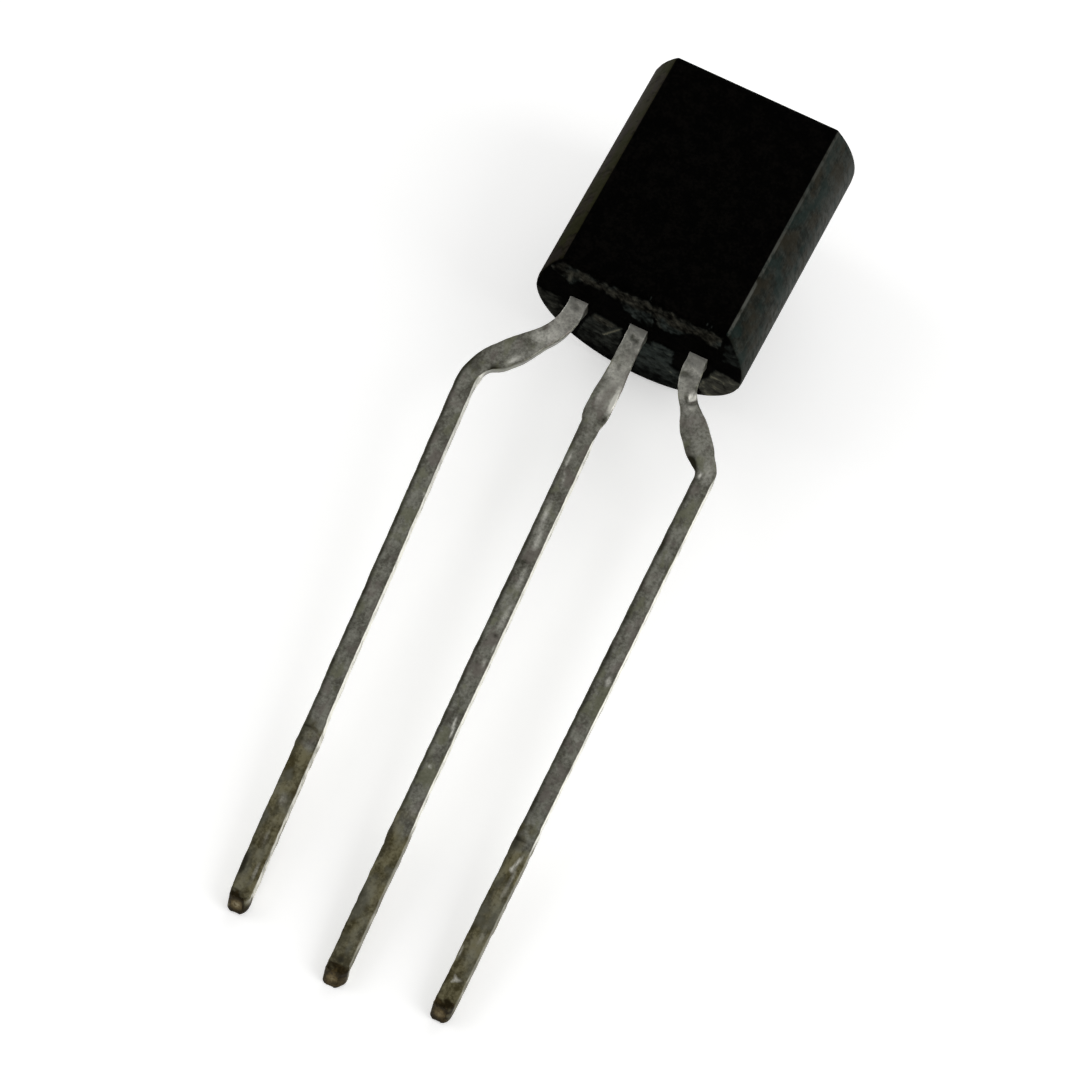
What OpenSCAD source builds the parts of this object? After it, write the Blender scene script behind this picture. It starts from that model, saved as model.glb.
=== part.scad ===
// Small-signal transistor in a moulded three-lead package, flat on one side and
// round on the other, with its outer leads formed outwards to a wide pitch.
//
// Everything is drawn in the package's own frame: X runs across the three leads,
// Y up the case away from the leads, Z out of the flat, and the mould's parting
// plane, which is also the middle of the lead strip, is Z = 0. lay_down() then
// sets the finished package on the ground as it lies: on the case's lower back
// edge and on the tip of its longest lead.

/* [Case] */
// Width across the round back
case_width = 4.4; // [4.2:0.05:5.2]
// Height from the end that the leads leave to the far end, at the parting plane
case_height = 5.12; // [4.9:0.02:5.4]
// Distance from the parting plane to the flat
flat_depth = 1.36; // [1.1:0.02:1.6]
// Draft of the end faces on the flat side of the mould, degrees
flat_side_draft = 2.5; // [1:0.5:6]
// Draft of the end faces on the round side of the mould, degrees
round_side_draft = 4; // [1:0.5:6]
// Radius along the flat's upper and lower edges
flat_edge_radius = 0.14; // [0.05:0.01:0.3]

/* [Lead strip] */
// Distance between neighbouring leads where they leave the case
lead_pitch = 1.27; // [1.2:0.01:1.35]
// Thickness of the strip that all three leads are stamped from
strip_thickness = 0.38; // [0.3:0.01:0.45]
// Developed length of each lead outside the case
lead_length = 14.04; // [9:0.02:16]
// Width of each lead where it leaves the case
exit_width = 0.38; // [0.32:0.01:0.42]
// Width of each lead below the tie-bar stub
lane_width = 0.355; // [0.32:0.005:0.44]

/* [Tie-bar stubs] */
// Distance along the lead from the case to where it starts to widen into the stub
stub_start = 1; // [0.9:0.02:1.2]
// Length over which the lead widens into the stub
stub_rise = 0.6; // [0.2:0.02:0.7]
// Length of the stub at its full width
stub_length = 0.36; // [0.2:0.02:0.8]
// Length of the sloping shoulder at the stub's far end
stub_shoulder = 0.18; // [0.06:0.01:0.2]
// How far the outer leads' stubs stand proud on the side towards the middle lead
inner_stub = 0.1; // [0.03:0.005:0.14]
// How far the outer leads' stubs stand proud on the side away from the middle lead
outer_stub = 0.05; // [0.01:0.005:0.1]
// How far the middle lead's stub stands proud on both sides
middle_stub = 0.05; // [0.01:0.005:0.1]

/* [Forming] */
// Straight run between the case and the first bend
exit_run = 0.2; // [0.1:0.02:0.3]
// Centre-line radius of the first bend
first_bend_radius = 1.2; // [0.8:0.05:1.3]
// Straight run between the collector lead's stub and its second bend
collector_run = 0.01; // [0.01:0.01:0.3]
// Straight run between the stub and the second bend of the other two leads
emitter_run = 0.17; // [0.01:0.01:0.3]
// Centre-line radius of the collector lead's second bend
collector_bend_radius = 0.95; // [0.4:0.05:1.2]
// Centre-line radius of the second bend of the other two leads
emitter_bend_radius = 0.45; // [0.4:0.05:1.2]
// How far the collector lead turns outwards at its first bend, degrees
collector_spread_angle = 38; // [20:1:42]
// How far the emitter lead turns outwards at its first bend, degrees
emitter_spread_angle = 39.5; // [20:0.5:42]
// How far the middle lead leans at its first bend, degrees
base_spread_angle = 2.1; // [1:0.1:4]
// Final direction of the collector lead, outwards positive, degrees
collector_splay_angle = -5.8; // [-7:0.05:7]
// Final direction of the base lead, towards the emitter positive, degrees
base_splay_angle = 3.8; // [2.5:0.1:6]
// Final direction of the emitter lead, outwards positive, degrees
emitter_splay_angle = 1.95; // [-7:0.05:7]

/* [Cut tips] */
// Slant of the shear cut, from the lead's front to its back, degrees
tip_slant = 26; // [0:1:40]
// Radius of the two corners of a tip
tip_corner_radius = 0.09; // [0.04:0.01:0.14]

/* [Leads inside the case] */
// Depth into the case at which each lead widens to its post
neck_depth = 0.34; // [0.3:0.02:0.5]
// Width of the posts
post_width = 0.52; // [0.44:0.02:0.6]
// Radius of the notches that lock each post into the moulding
lock_notch_radius = 0.12; // [0.06:0.01:0.14]
// Height of the lock notches above the lead end of the case
lock_notch_height = 0.75; // [0.6:0.01:0.8]
// Height at which the base post widens to its bonding head
base_head_start = 1.2; // [1.1:0.05:1.4]
// Height at which the emitter post widens to its bonding head
emitter_head_start = 2.5; // [2:0.05:3]
// Length of the two bonding heads
head_length = 0.6; // [0.4:0.05:0.8]
// Width of the base post's bonding head
base_head_width = 0.96; // [0.7:0.02:1]
// Width of the emitter post's bonding head
emitter_head_width = 0.66; // [0.62:0.02:0.8]
// Gap between the die pad and the two bonding heads
frame_gap = 0.34; // [0.2:0.02:0.4]
// Height of the die pad
pad_height = 1.95; // [1.6:0.05:2.1]
// Radius of the moulding hole in the die pad
pad_hole_radius = 0.24; // [0.15:0.01:0.3]
// Distance from the die pad's top edge to the centre of its moulding hole
pad_hole_inset = 0.48; // [0.42:0.01:0.55]
// Radius of the die pad's corners
pad_corner_radius = 0.15; // [0.05:0.01:0.25]

/* [Chip and bond wires] */
// Side of the square silicon chip
chip_side = 0.56; // [0.4:0.02:0.7]
// Thickness of the chip
chip_thickness = 0.22; // [0.15:0.01:0.3]
// Height of the chip's centre above the die pad's lower edge
chip_rise = 0.6; // [0.45:0.01:0.75]
// Diameter of the bond wires
wire_diameter = 0.05; // [0.03:0.005:0.08]
// Radius of the ball that each wire starts from on the chip
ball_radius = 0.06; // [0.05:0.005:0.08]
// Height of the ball and of the wire's flattened foot
bond_height = 0.05; // [0.045:0.005:0.08]
// How high each wire's loop stands above the line between its two bonds
loop_height = 0.38; // [0.2:0.01:0.45]

/* [Hidden] */
$fn = 96;
// Facets round the case, round a bond wire and round its ball and foot.
case_facets = 180;
wire_facets = 32;
bond_facets = 48;
// Steps along the bends and the stub, along the lane below them, and round each
// corner of a tip.
form_steps = 80;
lane_steps = 12;
corner_steps = 5;
// How far a lead's outline runs on into its post, and a post into its head.
lap = 0.1;
// How far a shape that only cuts runs past what it cuts.
cut_past = 1;

case_radius = case_width / 2;
half_strip = strip_thickness / 2;
back_inset = case_radius * tan(round_side_draft);
flat_inset = flat_depth * tan(flat_side_draft);

// How each lead is formed: its exit, the angles after its first and second bends,
// the run up to its second bend and that bend's radius, and how far its stub stands
// proud to -X and to +X.
collector_form = [[-lead_pitch, 0], -collector_spread_angle, -collector_splay_angle,
    collector_run, collector_bend_radius, outer_stub, inner_stub];
base_form = [[0, 0], base_spread_angle, base_splay_angle,
    emitter_run, emitter_bend_radius, middle_stub, middle_stub];
emitter_form = [[lead_pitch, 0], emitter_spread_angle, emitter_splay_angle,
    emitter_run, emitter_bend_radius, inner_stub, outer_stub];

// A lead is drawn from its exit along its centre line. It starts down -Y, and a
// positive angle turns it towards +X.
function heading(angle) = [sin(angle), -cos(angle)];
function arc_length(radius, angle) = radius * abs(angle) * PI / 180;
function arc_step(radius, from, to) =
    sign(to - from) * radius * [cos(from) - cos(to), sin(from) - sin(to)];
function part_done(s, from, to) = min(max((s - from) / (to - from), 0), 1);

// Distances along a lead at which its bends and its stub start and end.
stub_end = stub_start + stub_rise + stub_length + stub_shoulder;
function first_bend_end(form) = exit_run + arc_length(first_bend_radius, form[1]);
function second_bend_start(form) = stub_end + form[3];
function second_bend_end(form) = second_bend_start(form) + arc_length(form[4], form[2] - form[1]);

// How far each bend has turned the lead at distance s, and how much of the run
// between the two bends lies behind it.
function first_turn(s, form) = form[1] * part_done(s, exit_run, first_bend_end(form));
function second_turn(s, form) =
    (form[2] - form[1]) * part_done(s, second_bend_start(form), second_bend_end(form));
function run_behind(s, form) = min(max(s, first_bend_end(form)), second_bend_start(form))
    - first_bend_end(form);
function angle_at(s, form) = first_turn(s, form) + second_turn(s, form);

// The point of the centre line at distance s from the exit.
function point_at(s, form) =
    form[0]
    + min(s, exit_run) * heading(0)
    + arc_step(first_bend_radius, 0, first_turn(s, form))
    + run_behind(s, form) * heading(form[1])
    + arc_step(form[4], form[1], form[1] + second_turn(s, form))
    + max(s - second_bend_end(form), 0) * heading(form[2]);

// A point beside the centre line, off to the +X side for a positive offset.
function beside(s, offset, form) =
    point_at(s, form) + offset * [cos(angle_at(s, form)), sin(angle_at(s, form))];

// Half the width of a lead at distance s, with its stub standing proud.
function half_width(s, proud) =
    lookup(s, [
        [0, exit_width / 2],
        [stub_start, exit_width / 2],
        [stub_start + stub_rise, exit_width / 2 + proud],
        [stub_end - stub_shoulder, exit_width / 2 + proud],
        [stub_end, lane_width / 2]
    ]);

function tip_of(form) = point_at(lead_length, form);
// The farthest that a lead below its stub stands out to the side it is spread to.
function stand_out(form) =
    max([for (i = [0 : lane_steps])
        abs(beside(stub_end + (lead_length - stub_end) * i / lane_steps,
                   sign(form[1]) * lane_width / 2, form)[0])]);

// The leadframe inside the case.
pad_bottom = base_head_start + head_length + frame_gap;
pad_top = pad_bottom + pad_height;
pad_left = -lead_pitch - post_width / 2;
pad_right = lead_pitch - emitter_head_width / 2 - frame_gap;
pad_middle = (pad_left + pad_right) / 2;
chip_centre = [pad_middle, pad_bottom + chip_rise];
chip_top = half_strip + chip_thickness;
// The height inside a ball or foot at which the middle of its wire ends.
bond_seat = 0.6 * bond_height;
bond_inset = chip_side / 4;
base_bond = chip_centre + [bond_inset, -bond_inset];
emitter_bond = chip_centre + [bond_inset, bond_inset];
base_foot = [0, base_head_start + head_length / 2];
emitter_foot = [lead_pitch, emitter_head_start + head_length / 2];

// The pose at rest: one plane touches the case's lower back edge and the tip of
// the lead that reaches farthest down.
lead_reach = -min([for (form = [collector_form, base_form, emitter_form]) tip_of(form)[1]]);
rest_tilt = atan((case_radius - half_strip) / (back_inset + lead_reach));
rest_lift = case_radius * cos(rest_tilt) - back_inset * sin(rest_tilt);
rest_far_y = (case_height - back_inset) * cos(rest_tilt) + case_radius * sin(rest_tilt);
rest_near_y = -lead_reach * cos(rest_tilt) + half_strip * sin(rest_tilt);
rest_left_x = -max(case_radius, stand_out(collector_form));
rest_right_x = max(case_radius, stand_out(emitter_form));

module lay_down() {
    translate([-(rest_left_x + rest_right_x) / 2, -(rest_near_y + rest_far_y) / 2, rest_lift])
        rotate([rest_tilt, 0, 0])
            children();
}

// ---- Flat patterns ----

// The part of a lead outside the case, from inside its post to its tip: a straight
// exit, a bend that spreads it, the stub of the cut tie bar, a bend into its lane
// and an end with two rounded corners.
module formed_pattern(form) {
    formed_end = second_bend_end(form);
    along = concat(
        [-neck_depth - lap],
        [for (i = [0 : form_steps]) formed_end * i / form_steps]
    );
    corner = [for (i = [0 : corner_steps]) 90 * i / corner_steps];
    end_along = [for (turn = corner) lead_length - tip_corner_radius * (1 - sin(turn))];
    end_half = [for (turn = corner) lane_width / 2 - tip_corner_radius * (1 - cos(turn))];
    left_side = concat(
        [for (s = along) beside(s, -half_width(s, form[5]), form)],
        [for (i = [0 : corner_steps]) beside(end_along[i], -end_half[i], form)]
    );
    right_side = concat(
        [for (i = [corner_steps : -1 : 0]) beside(end_along[i], end_half[i], form)],
        [for (i = [len(along) - 1 : -1 : 0]) beside(along[i], half_width(along[i], form[6]), form)]
    );
    polygon(concat(left_side, right_side));
}

// The post inside the case that a lead grows from, with its two lock notches.
module post_pattern(height) {
    difference() {
        translate([-post_width / 2, neck_depth]) square([post_width, height - neck_depth]);
        for (side = [-1, 1])
            translate([side * post_width / 2, lock_notch_height]) circle(lock_notch_radius);
    }
}

// A rectangle with four rounded corners, from its lower left corner.
module rounded_plate(width, height, corner) {
    translate([corner, 0]) square([width - 2 * corner, height]);
    translate([0, corner]) square([width, height - 2 * corner]);
    for (x = [corner, width - corner], y = [corner, height - corner])
        translate([x, y]) circle(corner);
}

module head_pattern(width, start) {
    translate([-width / 2, start]) square([width, head_length]);
}

// The plate that the chip sits on, at the top of the collector lead's post.
module pad_pattern() {
    difference() {
        translate([pad_left, pad_bottom])
            rounded_plate(pad_right - pad_left, pad_height, pad_corner_radius);
        translate([pad_middle, pad_top - pad_hole_inset]) circle(pad_hole_radius);
    }
}

// ---- Leads ----

// A lead cut from the strip, with the shear cut across its tip, longest at the back.
module stamped(form) {
    difference() {
        translate([0, 0, -half_strip]) linear_extrude(strip_thickness) {
            formed_pattern(form);
            children();
        }
        translate([tip_of(form)[0], tip_of(form)[1], -half_strip])
            rotate([0, 0, form[2]])
                rotate([-tip_slant, 0, 0])
                    translate([-cut_past, -2 * cut_past, -cut_past]) cube(2 * cut_past);
    }
}

module collector_shape() {
    stamped(collector_form) {
        translate(collector_form[0]) post_pattern(pad_bottom + pad_corner_radius + lap);
        pad_pattern();
    }
}

module base_shape() {
    stamped(base_form) {
        post_pattern(base_head_start + lap);
        head_pattern(base_head_width, base_head_start);
    }
}

module emitter_shape() {
    stamped(emitter_form)
        translate(emitter_form[0]) {
            post_pattern(emitter_head_start + lap);
            head_pattern(emitter_head_width, emitter_head_start);
        }
}

// ---- Chip and bond wires ----

module chip_shape() {
    translate([chip_centre[0] - chip_side / 2, chip_centre[1] - chip_side / 2, half_strip])
        cube([chip_side, chip_side, chip_thickness]);
}

// A wire that leaves a ball on the chip and comes down to a foot on a post, as one
// arc of a circle in the upright plane through both bonds.
module wire_shape(bond, foot) {
    wire_radius = wire_diameter / 2;
    start = [bond[0], bond[1], chip_top + bond_seat];
    end = [foot[0], foot[1], half_strip + bond_seat];
    span = norm(end - start);
    flat_span = norm([end[0] - start[0], end[1] - start[1]]);
    arc_radius = (span * span / 4 + loop_height * loop_height) / (2 * loop_height);
    half_angle = asin(span / 2 / arc_radius);
    translate((start + end) / 2)
        rotate([0, 0, atan2(end[1] - start[1], end[0] - start[0])])
            rotate([0, atan2(start[2] - end[2], flat_span), 0])
                translate([0, 0, loop_height - arc_radius])
                    rotate([90, 0, 0])
                        rotate([0, 0, 90 - half_angle])
                            rotate_extrude(angle = 2 * half_angle)
                                translate([arc_radius, 0]) circle(wire_radius, $fn = wire_facets);
    translate([bond[0], bond[1], chip_top])
        cylinder(h = bond_height, r = ball_radius, $fn = bond_facets);
    translate([foot[0], foot[1], half_strip])
        cylinder(h = bond_height, r = ball_radius, $fn = bond_facets);
}

// ---- Case ----

// The case seen from its side: two mould halves, each drawn in towards its own
// face, with the flat's upper and lower edges rounded.
module side_profile() {
    difference() {
        polygon([
            [0, 0], [flat_inset, flat_depth], [case_height - flat_inset, flat_depth],
            [case_height, 0], [case_height - back_inset, -case_radius], [back_inset, -case_radius]
        ]);
        edge_relief();
        translate([case_height, 0]) mirror([1, 0]) edge_relief();
    }
}

// What the round at the flat's lower edge takes away from the sharp corner.
module edge_relief() {
    slope = 90 - flat_side_draft;
    setback = flat_edge_radius * tan((90 - flat_side_draft) / 2);
    corner = [flat_inset, flat_depth];
    on_flat = corner + [setback, 0];
    on_end = corner - setback * [cos(slope), sin(slope)];
    difference() {
        polygon([
            on_end, on_flat, corner + [0, cut_past], corner - [cut_past, 0], on_end - [cut_past, 0]
        ]);
        translate(on_flat - [0, flat_edge_radius]) circle(flat_edge_radius);
    }
}

// The moulding with the package's full outline and nothing inside it.
module case_blank() {
    intersection() {
        rotate([-90, 0, 0]) cylinder(h = case_height, r = case_radius, $fn = case_facets);
        rotate([90, 0, 90])
            translate([0, 0, -case_width]) linear_extrude(2 * case_width) side_profile();
    }
}

module case_shape() {
    difference() {
        case_blank();
        collector_shape();
        base_shape();
        emitter_shape();
        chip_shape();
        wire_shape(base_bond, base_foot);
        wire_shape(emitter_bond, emitter_foot);
    }
}

// ---- Sub-parts ----

module case() { color("#1d1d1b") lay_down() case_shape(); }
module collector_lead() { color("#8d8e86") lay_down() collector_shape(); }
module base_lead() { color("#8d8e86") lay_down() base_shape(); }
module emitter_lead() { color("#8d8e86") lay_down() emitter_shape(); }
module chip() { color("#454a58") lay_down() chip_shape(); }
module base_wire() { color("#d8a93c") lay_down() wire_shape(base_bond, base_foot); }
module emitter_wire() { color("#d8a93c") lay_down() wire_shape(emitter_bond, emitter_foot); }

case();
collector_lead();
base_lead();
emitter_lead();
chip();
base_wire();
emitter_wire();
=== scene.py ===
"""Looks of a small-signal transistor: a moulded case on three formed leads, lying on a pale floor.

The package's own frame, in millimetres, has X across the three leads, Y up the case away from
the leads, Z out of the flat, and the mould's parting plane at Z = 0. LyingPose turns it into the
frame that the solids share.
"""

from __future__ import annotations

import logging
import math
from dataclasses import dataclass, replace
from enum import Enum
from typing import Callable, Iterable, Sequence, Union

import bmesh
import bpy
from mathutils import Matrix, Vector, noise

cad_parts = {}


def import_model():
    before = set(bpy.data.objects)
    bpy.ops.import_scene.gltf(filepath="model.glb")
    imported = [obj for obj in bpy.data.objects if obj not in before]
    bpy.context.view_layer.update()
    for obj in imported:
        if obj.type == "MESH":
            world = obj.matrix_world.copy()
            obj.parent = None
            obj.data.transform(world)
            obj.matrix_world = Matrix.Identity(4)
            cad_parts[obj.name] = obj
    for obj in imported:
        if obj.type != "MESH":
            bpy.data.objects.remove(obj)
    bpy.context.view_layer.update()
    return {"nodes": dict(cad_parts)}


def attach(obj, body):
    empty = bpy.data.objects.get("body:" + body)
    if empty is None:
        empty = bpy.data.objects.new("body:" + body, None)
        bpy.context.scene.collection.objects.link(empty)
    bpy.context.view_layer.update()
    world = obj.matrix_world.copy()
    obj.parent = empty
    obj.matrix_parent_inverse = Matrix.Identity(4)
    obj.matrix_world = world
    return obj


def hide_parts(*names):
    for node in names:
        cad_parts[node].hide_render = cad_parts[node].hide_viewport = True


LOG = logging.getLogger("transistor")
MILLIMETRE = 0.001
MERGE_DISTANCE = 1e-5
FLAT_ANGLE = math.radians(0.3)

Number = Union[int, float]
Colour = tuple[float, float, float]
FaceTest = Callable[[bmesh.types.BMFace], bool]


# ---------------------------------------------------------------- small maths


def clamp(value: float, low: float = 0.0, high: float = 1.0) -> float:
    """Returns the value, held between low and high."""
    return min(max(value, low), high)


def smoothstep(low: float, high: float, value: float) -> float:
    """Returns 0 below low, 1 above high and a smooth rise between them."""
    part = clamp((value - low) / (high - low))
    return part * part * (3.0 - 2.0 * part)


def bell(value: float, centre: float, width: float) -> float:
    """Returns a bump of height 1 at the centre that fades out over the width."""
    return math.exp(-(((value - centre) / width) ** 2))


def grain(point: Vector, size: float, octaves: int = 3) -> float:
    """Returns fractal noise of about -1 to 1.

    Args:
        point: Where to read it, in millimetres.
        size: Size of its largest grains, in millimetres.
        octaves: How many layers of finer and finer grains it has.

    Returns:
        The noise at that point.
    """
    return noise.fractal(point / size, 1.0, 2.0, octaves, noise_basis="PERLIN_ORIGINAL")


def rounded_edge(one: float, other: float, radius: float) -> float:
    """Returns how far a point stands out of two surfaces that meet in a rounded edge.

    Args:
        one: How far it stands out of the first surface, negative inside.
        other: How far it stands out of the second surface.
        radius: The edge's radius.

    Returns:
        How far it stands out of the pair, negative inside.
    """
    a, b = one + radius, other + radius
    return min(max(a, b), 0.0) + math.hypot(max(a, 0.0), max(b, 0.0)) - radius


def spread(low: float, high: float, count: int) -> list[float]:
    """Returns count + 1 evenly spaced numbers from low to high."""
    return [low + (high - low) * i / count for i in range(count + 1)]


def inner_rows(low: float, high: float, cell: float) -> list[float]:
    """Returns where to cut the span from low to high into even cells of about this size."""
    return spread(low, high, max(2, round((high - low) / cell)))[1:-1]


# ---------------------------------------------------------------- shader maths


class Value:
    """One output socket of a material's nodes, with the operators that the finishes use."""

    def __init__(self, tree: "NodeSheet", socket: bpy.types.NodeSocket) -> None:
        """Keeps the sheet that the socket is on, and the socket."""
        self.tree = tree
        self.socket = socket

    def _maths(self, operation: str, *operands: "Value | Number") -> "Value":
        """Adds a Math node of these operands."""
        return self.tree.value("ShaderNodeMath", {"operation": operation}, dict(enumerate(operands)))

    def __add__(self, other: "Value | Number") -> "Value":
        """Returns self + other."""
        return self._maths("ADD", self, other)

    def __radd__(self, other: Number) -> "Value":
        """Returns other + self."""
        return self._maths("ADD", other, self)

    def __sub__(self, other: "Value | Number") -> "Value":
        """Returns self - other."""
        return self._maths("SUBTRACT", self, other)

    def __rsub__(self, other: Number) -> "Value":
        """Returns other - self."""
        return self._maths("SUBTRACT", other, self)

    def __mul__(self, other: "Value | Number") -> "Value":
        """Returns self * other."""
        return self._maths("MULTIPLY", self, other)

    def __rmul__(self, other: Number) -> "Value":
        """Returns other * self."""
        return self._maths("MULTIPLY", other, self)

    def lowest(self, other: "Value | Number") -> "Value":
        """Returns the smaller of self and other."""
        return self._maths("MINIMUM", self, other)

    def highest(self, other: "Value | Number") -> "Value":
        """Returns the larger of self and other."""
        return self._maths("MAXIMUM", self, other)

    def rise(self, low: float, high: float) -> "Value":
        """Returns a smooth rise.

        Args:
            low: Where it is still 0.
            high: Where it has reached 1.

        Returns:
            The rise, from 0 to 1.
        """
        return self.tree.value(
            "ShaderNodeMapRange",
            {"interpolation_type": "SMOOTHSTEP"},
            {"Value": self, "From Min": low, "From Max": high},
        )

    def fall(self, low: float, high: float) -> "Value":
        """Returns 1 below low, 0 above high and a smooth fall between them."""
        return 1.0 - self.rise(low, high)


Input = Union[Value, Number, Sequence[float]]
Inputs = dict[Union[str, int], Input]
Settings = dict[str, Union[str, Number]]


@dataclass(frozen=True)
class Cloud:
    """Noise in a finish. Its largest grains have this size in millimetres where its scale is 1."""

    size: float
    detail: float = 3.0
    rough: float = 0.6
    scale: tuple[float, float, float] = (1.0, 1.0, 1.0)


class NodeSheet:
    """The nodes of one material or of the world."""

    def __init__(self, owner: "bpy.types.Material | bpy.types.World") -> None:
        """Turns the nodes on and clears them.

        Args:
            owner: The material or world that they belong to.
        """
        owner.use_nodes = True
        self.tree = owner.node_tree
        self.tree.nodes.clear()

    def add(
        self, kind: str, settings: Settings | None = None, inputs: Inputs | None = None
    ) -> bpy.types.Node:
        """Adds any node.

        Args:
            kind: The node's Blender type.
            settings: Its settings, such as a Math node's operation, which are set first.
            inputs: A value or a link for each socket, by name or by number.

        Returns:
            The new node.
        """
        node = self.tree.nodes.new(kind)
        for name, setting in (settings or {}).items():
            setattr(node, name, setting)
        for name, given in (inputs or {}).items():
            if isinstance(given, Value):
                self.tree.links.new(given.socket, node.inputs[name])
            else:
                node.inputs[name].default_value = given
        return node

    def value(
        self, kind: str, settings: Settings | None = None, inputs: Inputs | None = None, out: str | int = 0
    ) -> Value:
        """Adds any node and returns one of its outputs."""
        return Value(self, self.add(kind, settings, inputs).outputs[out])

    def package(self, pose: "LyingPose") -> Value:
        """Returns the point being shaded, in the package's frame.

        Args:
            pose: How the package lies.

        Returns:
            The point, in millimetres.
        """
        place = self.value("ShaderNodeTexCoord", out="Object")
        turn, shift = pose.back_to_package()
        return self.value(
            "ShaderNodeMapping",
            inputs={"Vector": place, "Location": shift, "Rotation": turn, "Scale": (1.0 / MILLIMETRE,) * 3},
        )

    def painted(self, name: str) -> Value:
        """Returns a number that is kept on the mesh's vertices."""
        return self.value("ShaderNodeAttribute", {"attribute_name": name}, out="Fac")

    def split(self, vector: Value) -> tuple[Value, Value, Value]:
        """Returns the X, Y and Z of a vector."""
        node = self.add("ShaderNodeSeparateXYZ", inputs={"Vector": vector})
        return tuple(Value(self, socket) for socket in node.outputs)

    def cloud(self, place: Value, cloud: Cloud) -> Value:
        """Returns noise.

        Args:
            place: Where to read it, in millimetres.
            cloud: Its grains.

        Returns:
            The noise at that place, from 0 to 1.
        """
        if cloud.scale != Cloud.scale:
            place = self.value("ShaderNodeVectorMath", {"operation": "MULTIPLY"}, {0: place, 1: cloud.scale})
        return self.value(
            "ShaderNodeTexNoise",
            {"noise_dimensions": "3D"},
            {"Vector": place, "Scale": 1.0 / cloud.size, "Detail": cloud.detail, "Roughness": cloud.rough},
        )

    def blend(self, factor: Input, first: Input, second: Input) -> Value:
        """Returns a mix of two colours.

        Args:
            factor: How much of the second colour there is, from 0 to 1.
            first: The first colour.
            second: The second colour.

        Returns:
            The mixed colour.
        """
        return self.value(
            "ShaderNodeMix",
            {"data_type": "RGBA"},
            {0: factor, 6: self._solid(first), 7: self._solid(second)},
            out=2,
        )

    @staticmethod
    def _solid(colour: Input) -> Input:
        """Gives a plain colour the fourth number that its socket takes."""
        return colour if isinstance(colour, Value) else (*colour, 1.0)

    def bump(self, height: Value, depth: float) -> Value:
        """Returns a normal for a relief.

        Args:
            height: The relief, from 0 to 1.
            depth: How deep it is, in millimetres.

        Returns:
            The normal.
        """
        return self.value(
            "ShaderNodeBump", inputs={"Height": height, "Distance": depth * MILLIMETRE, "Strength": 1.0}
        )

    def glossy(self, inputs: Inputs) -> Value:
        """Adds a Principled BSDF and returns its shader."""
        return self.value("ShaderNodeBsdfPrincipled", inputs=inputs)

    def finish_with(self, shader: Value, kind: str = "ShaderNodeOutputMaterial") -> None:
        """Links a shader to the sheet's output."""
        self.add(kind, inputs={"Surface": shader})


# ---------------------------------------------------------------- sizes and pose


def downwards(angle: float) -> Vector:
    """Returns the direction that is this many degrees from -Y towards +X."""
    return Vector((math.sin(math.radians(angle)), -math.cos(math.radians(angle)), 0.0))


def bend(radius: float, start: float, end: float) -> Vector:
    """Returns the way along a bend.

    Args:
        radius: The bend's radius.
        start: The direction before it, in degrees from -Y towards +X.
        end: The direction after it.

    Returns:
        The vector from its start to its end.
    """
    a, b = math.radians(start), math.radians(end)
    side = math.copysign(radius, end - start)
    return side * Vector((math.cos(a) - math.cos(b), math.sin(a) - math.sin(b), 0.0))


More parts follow.
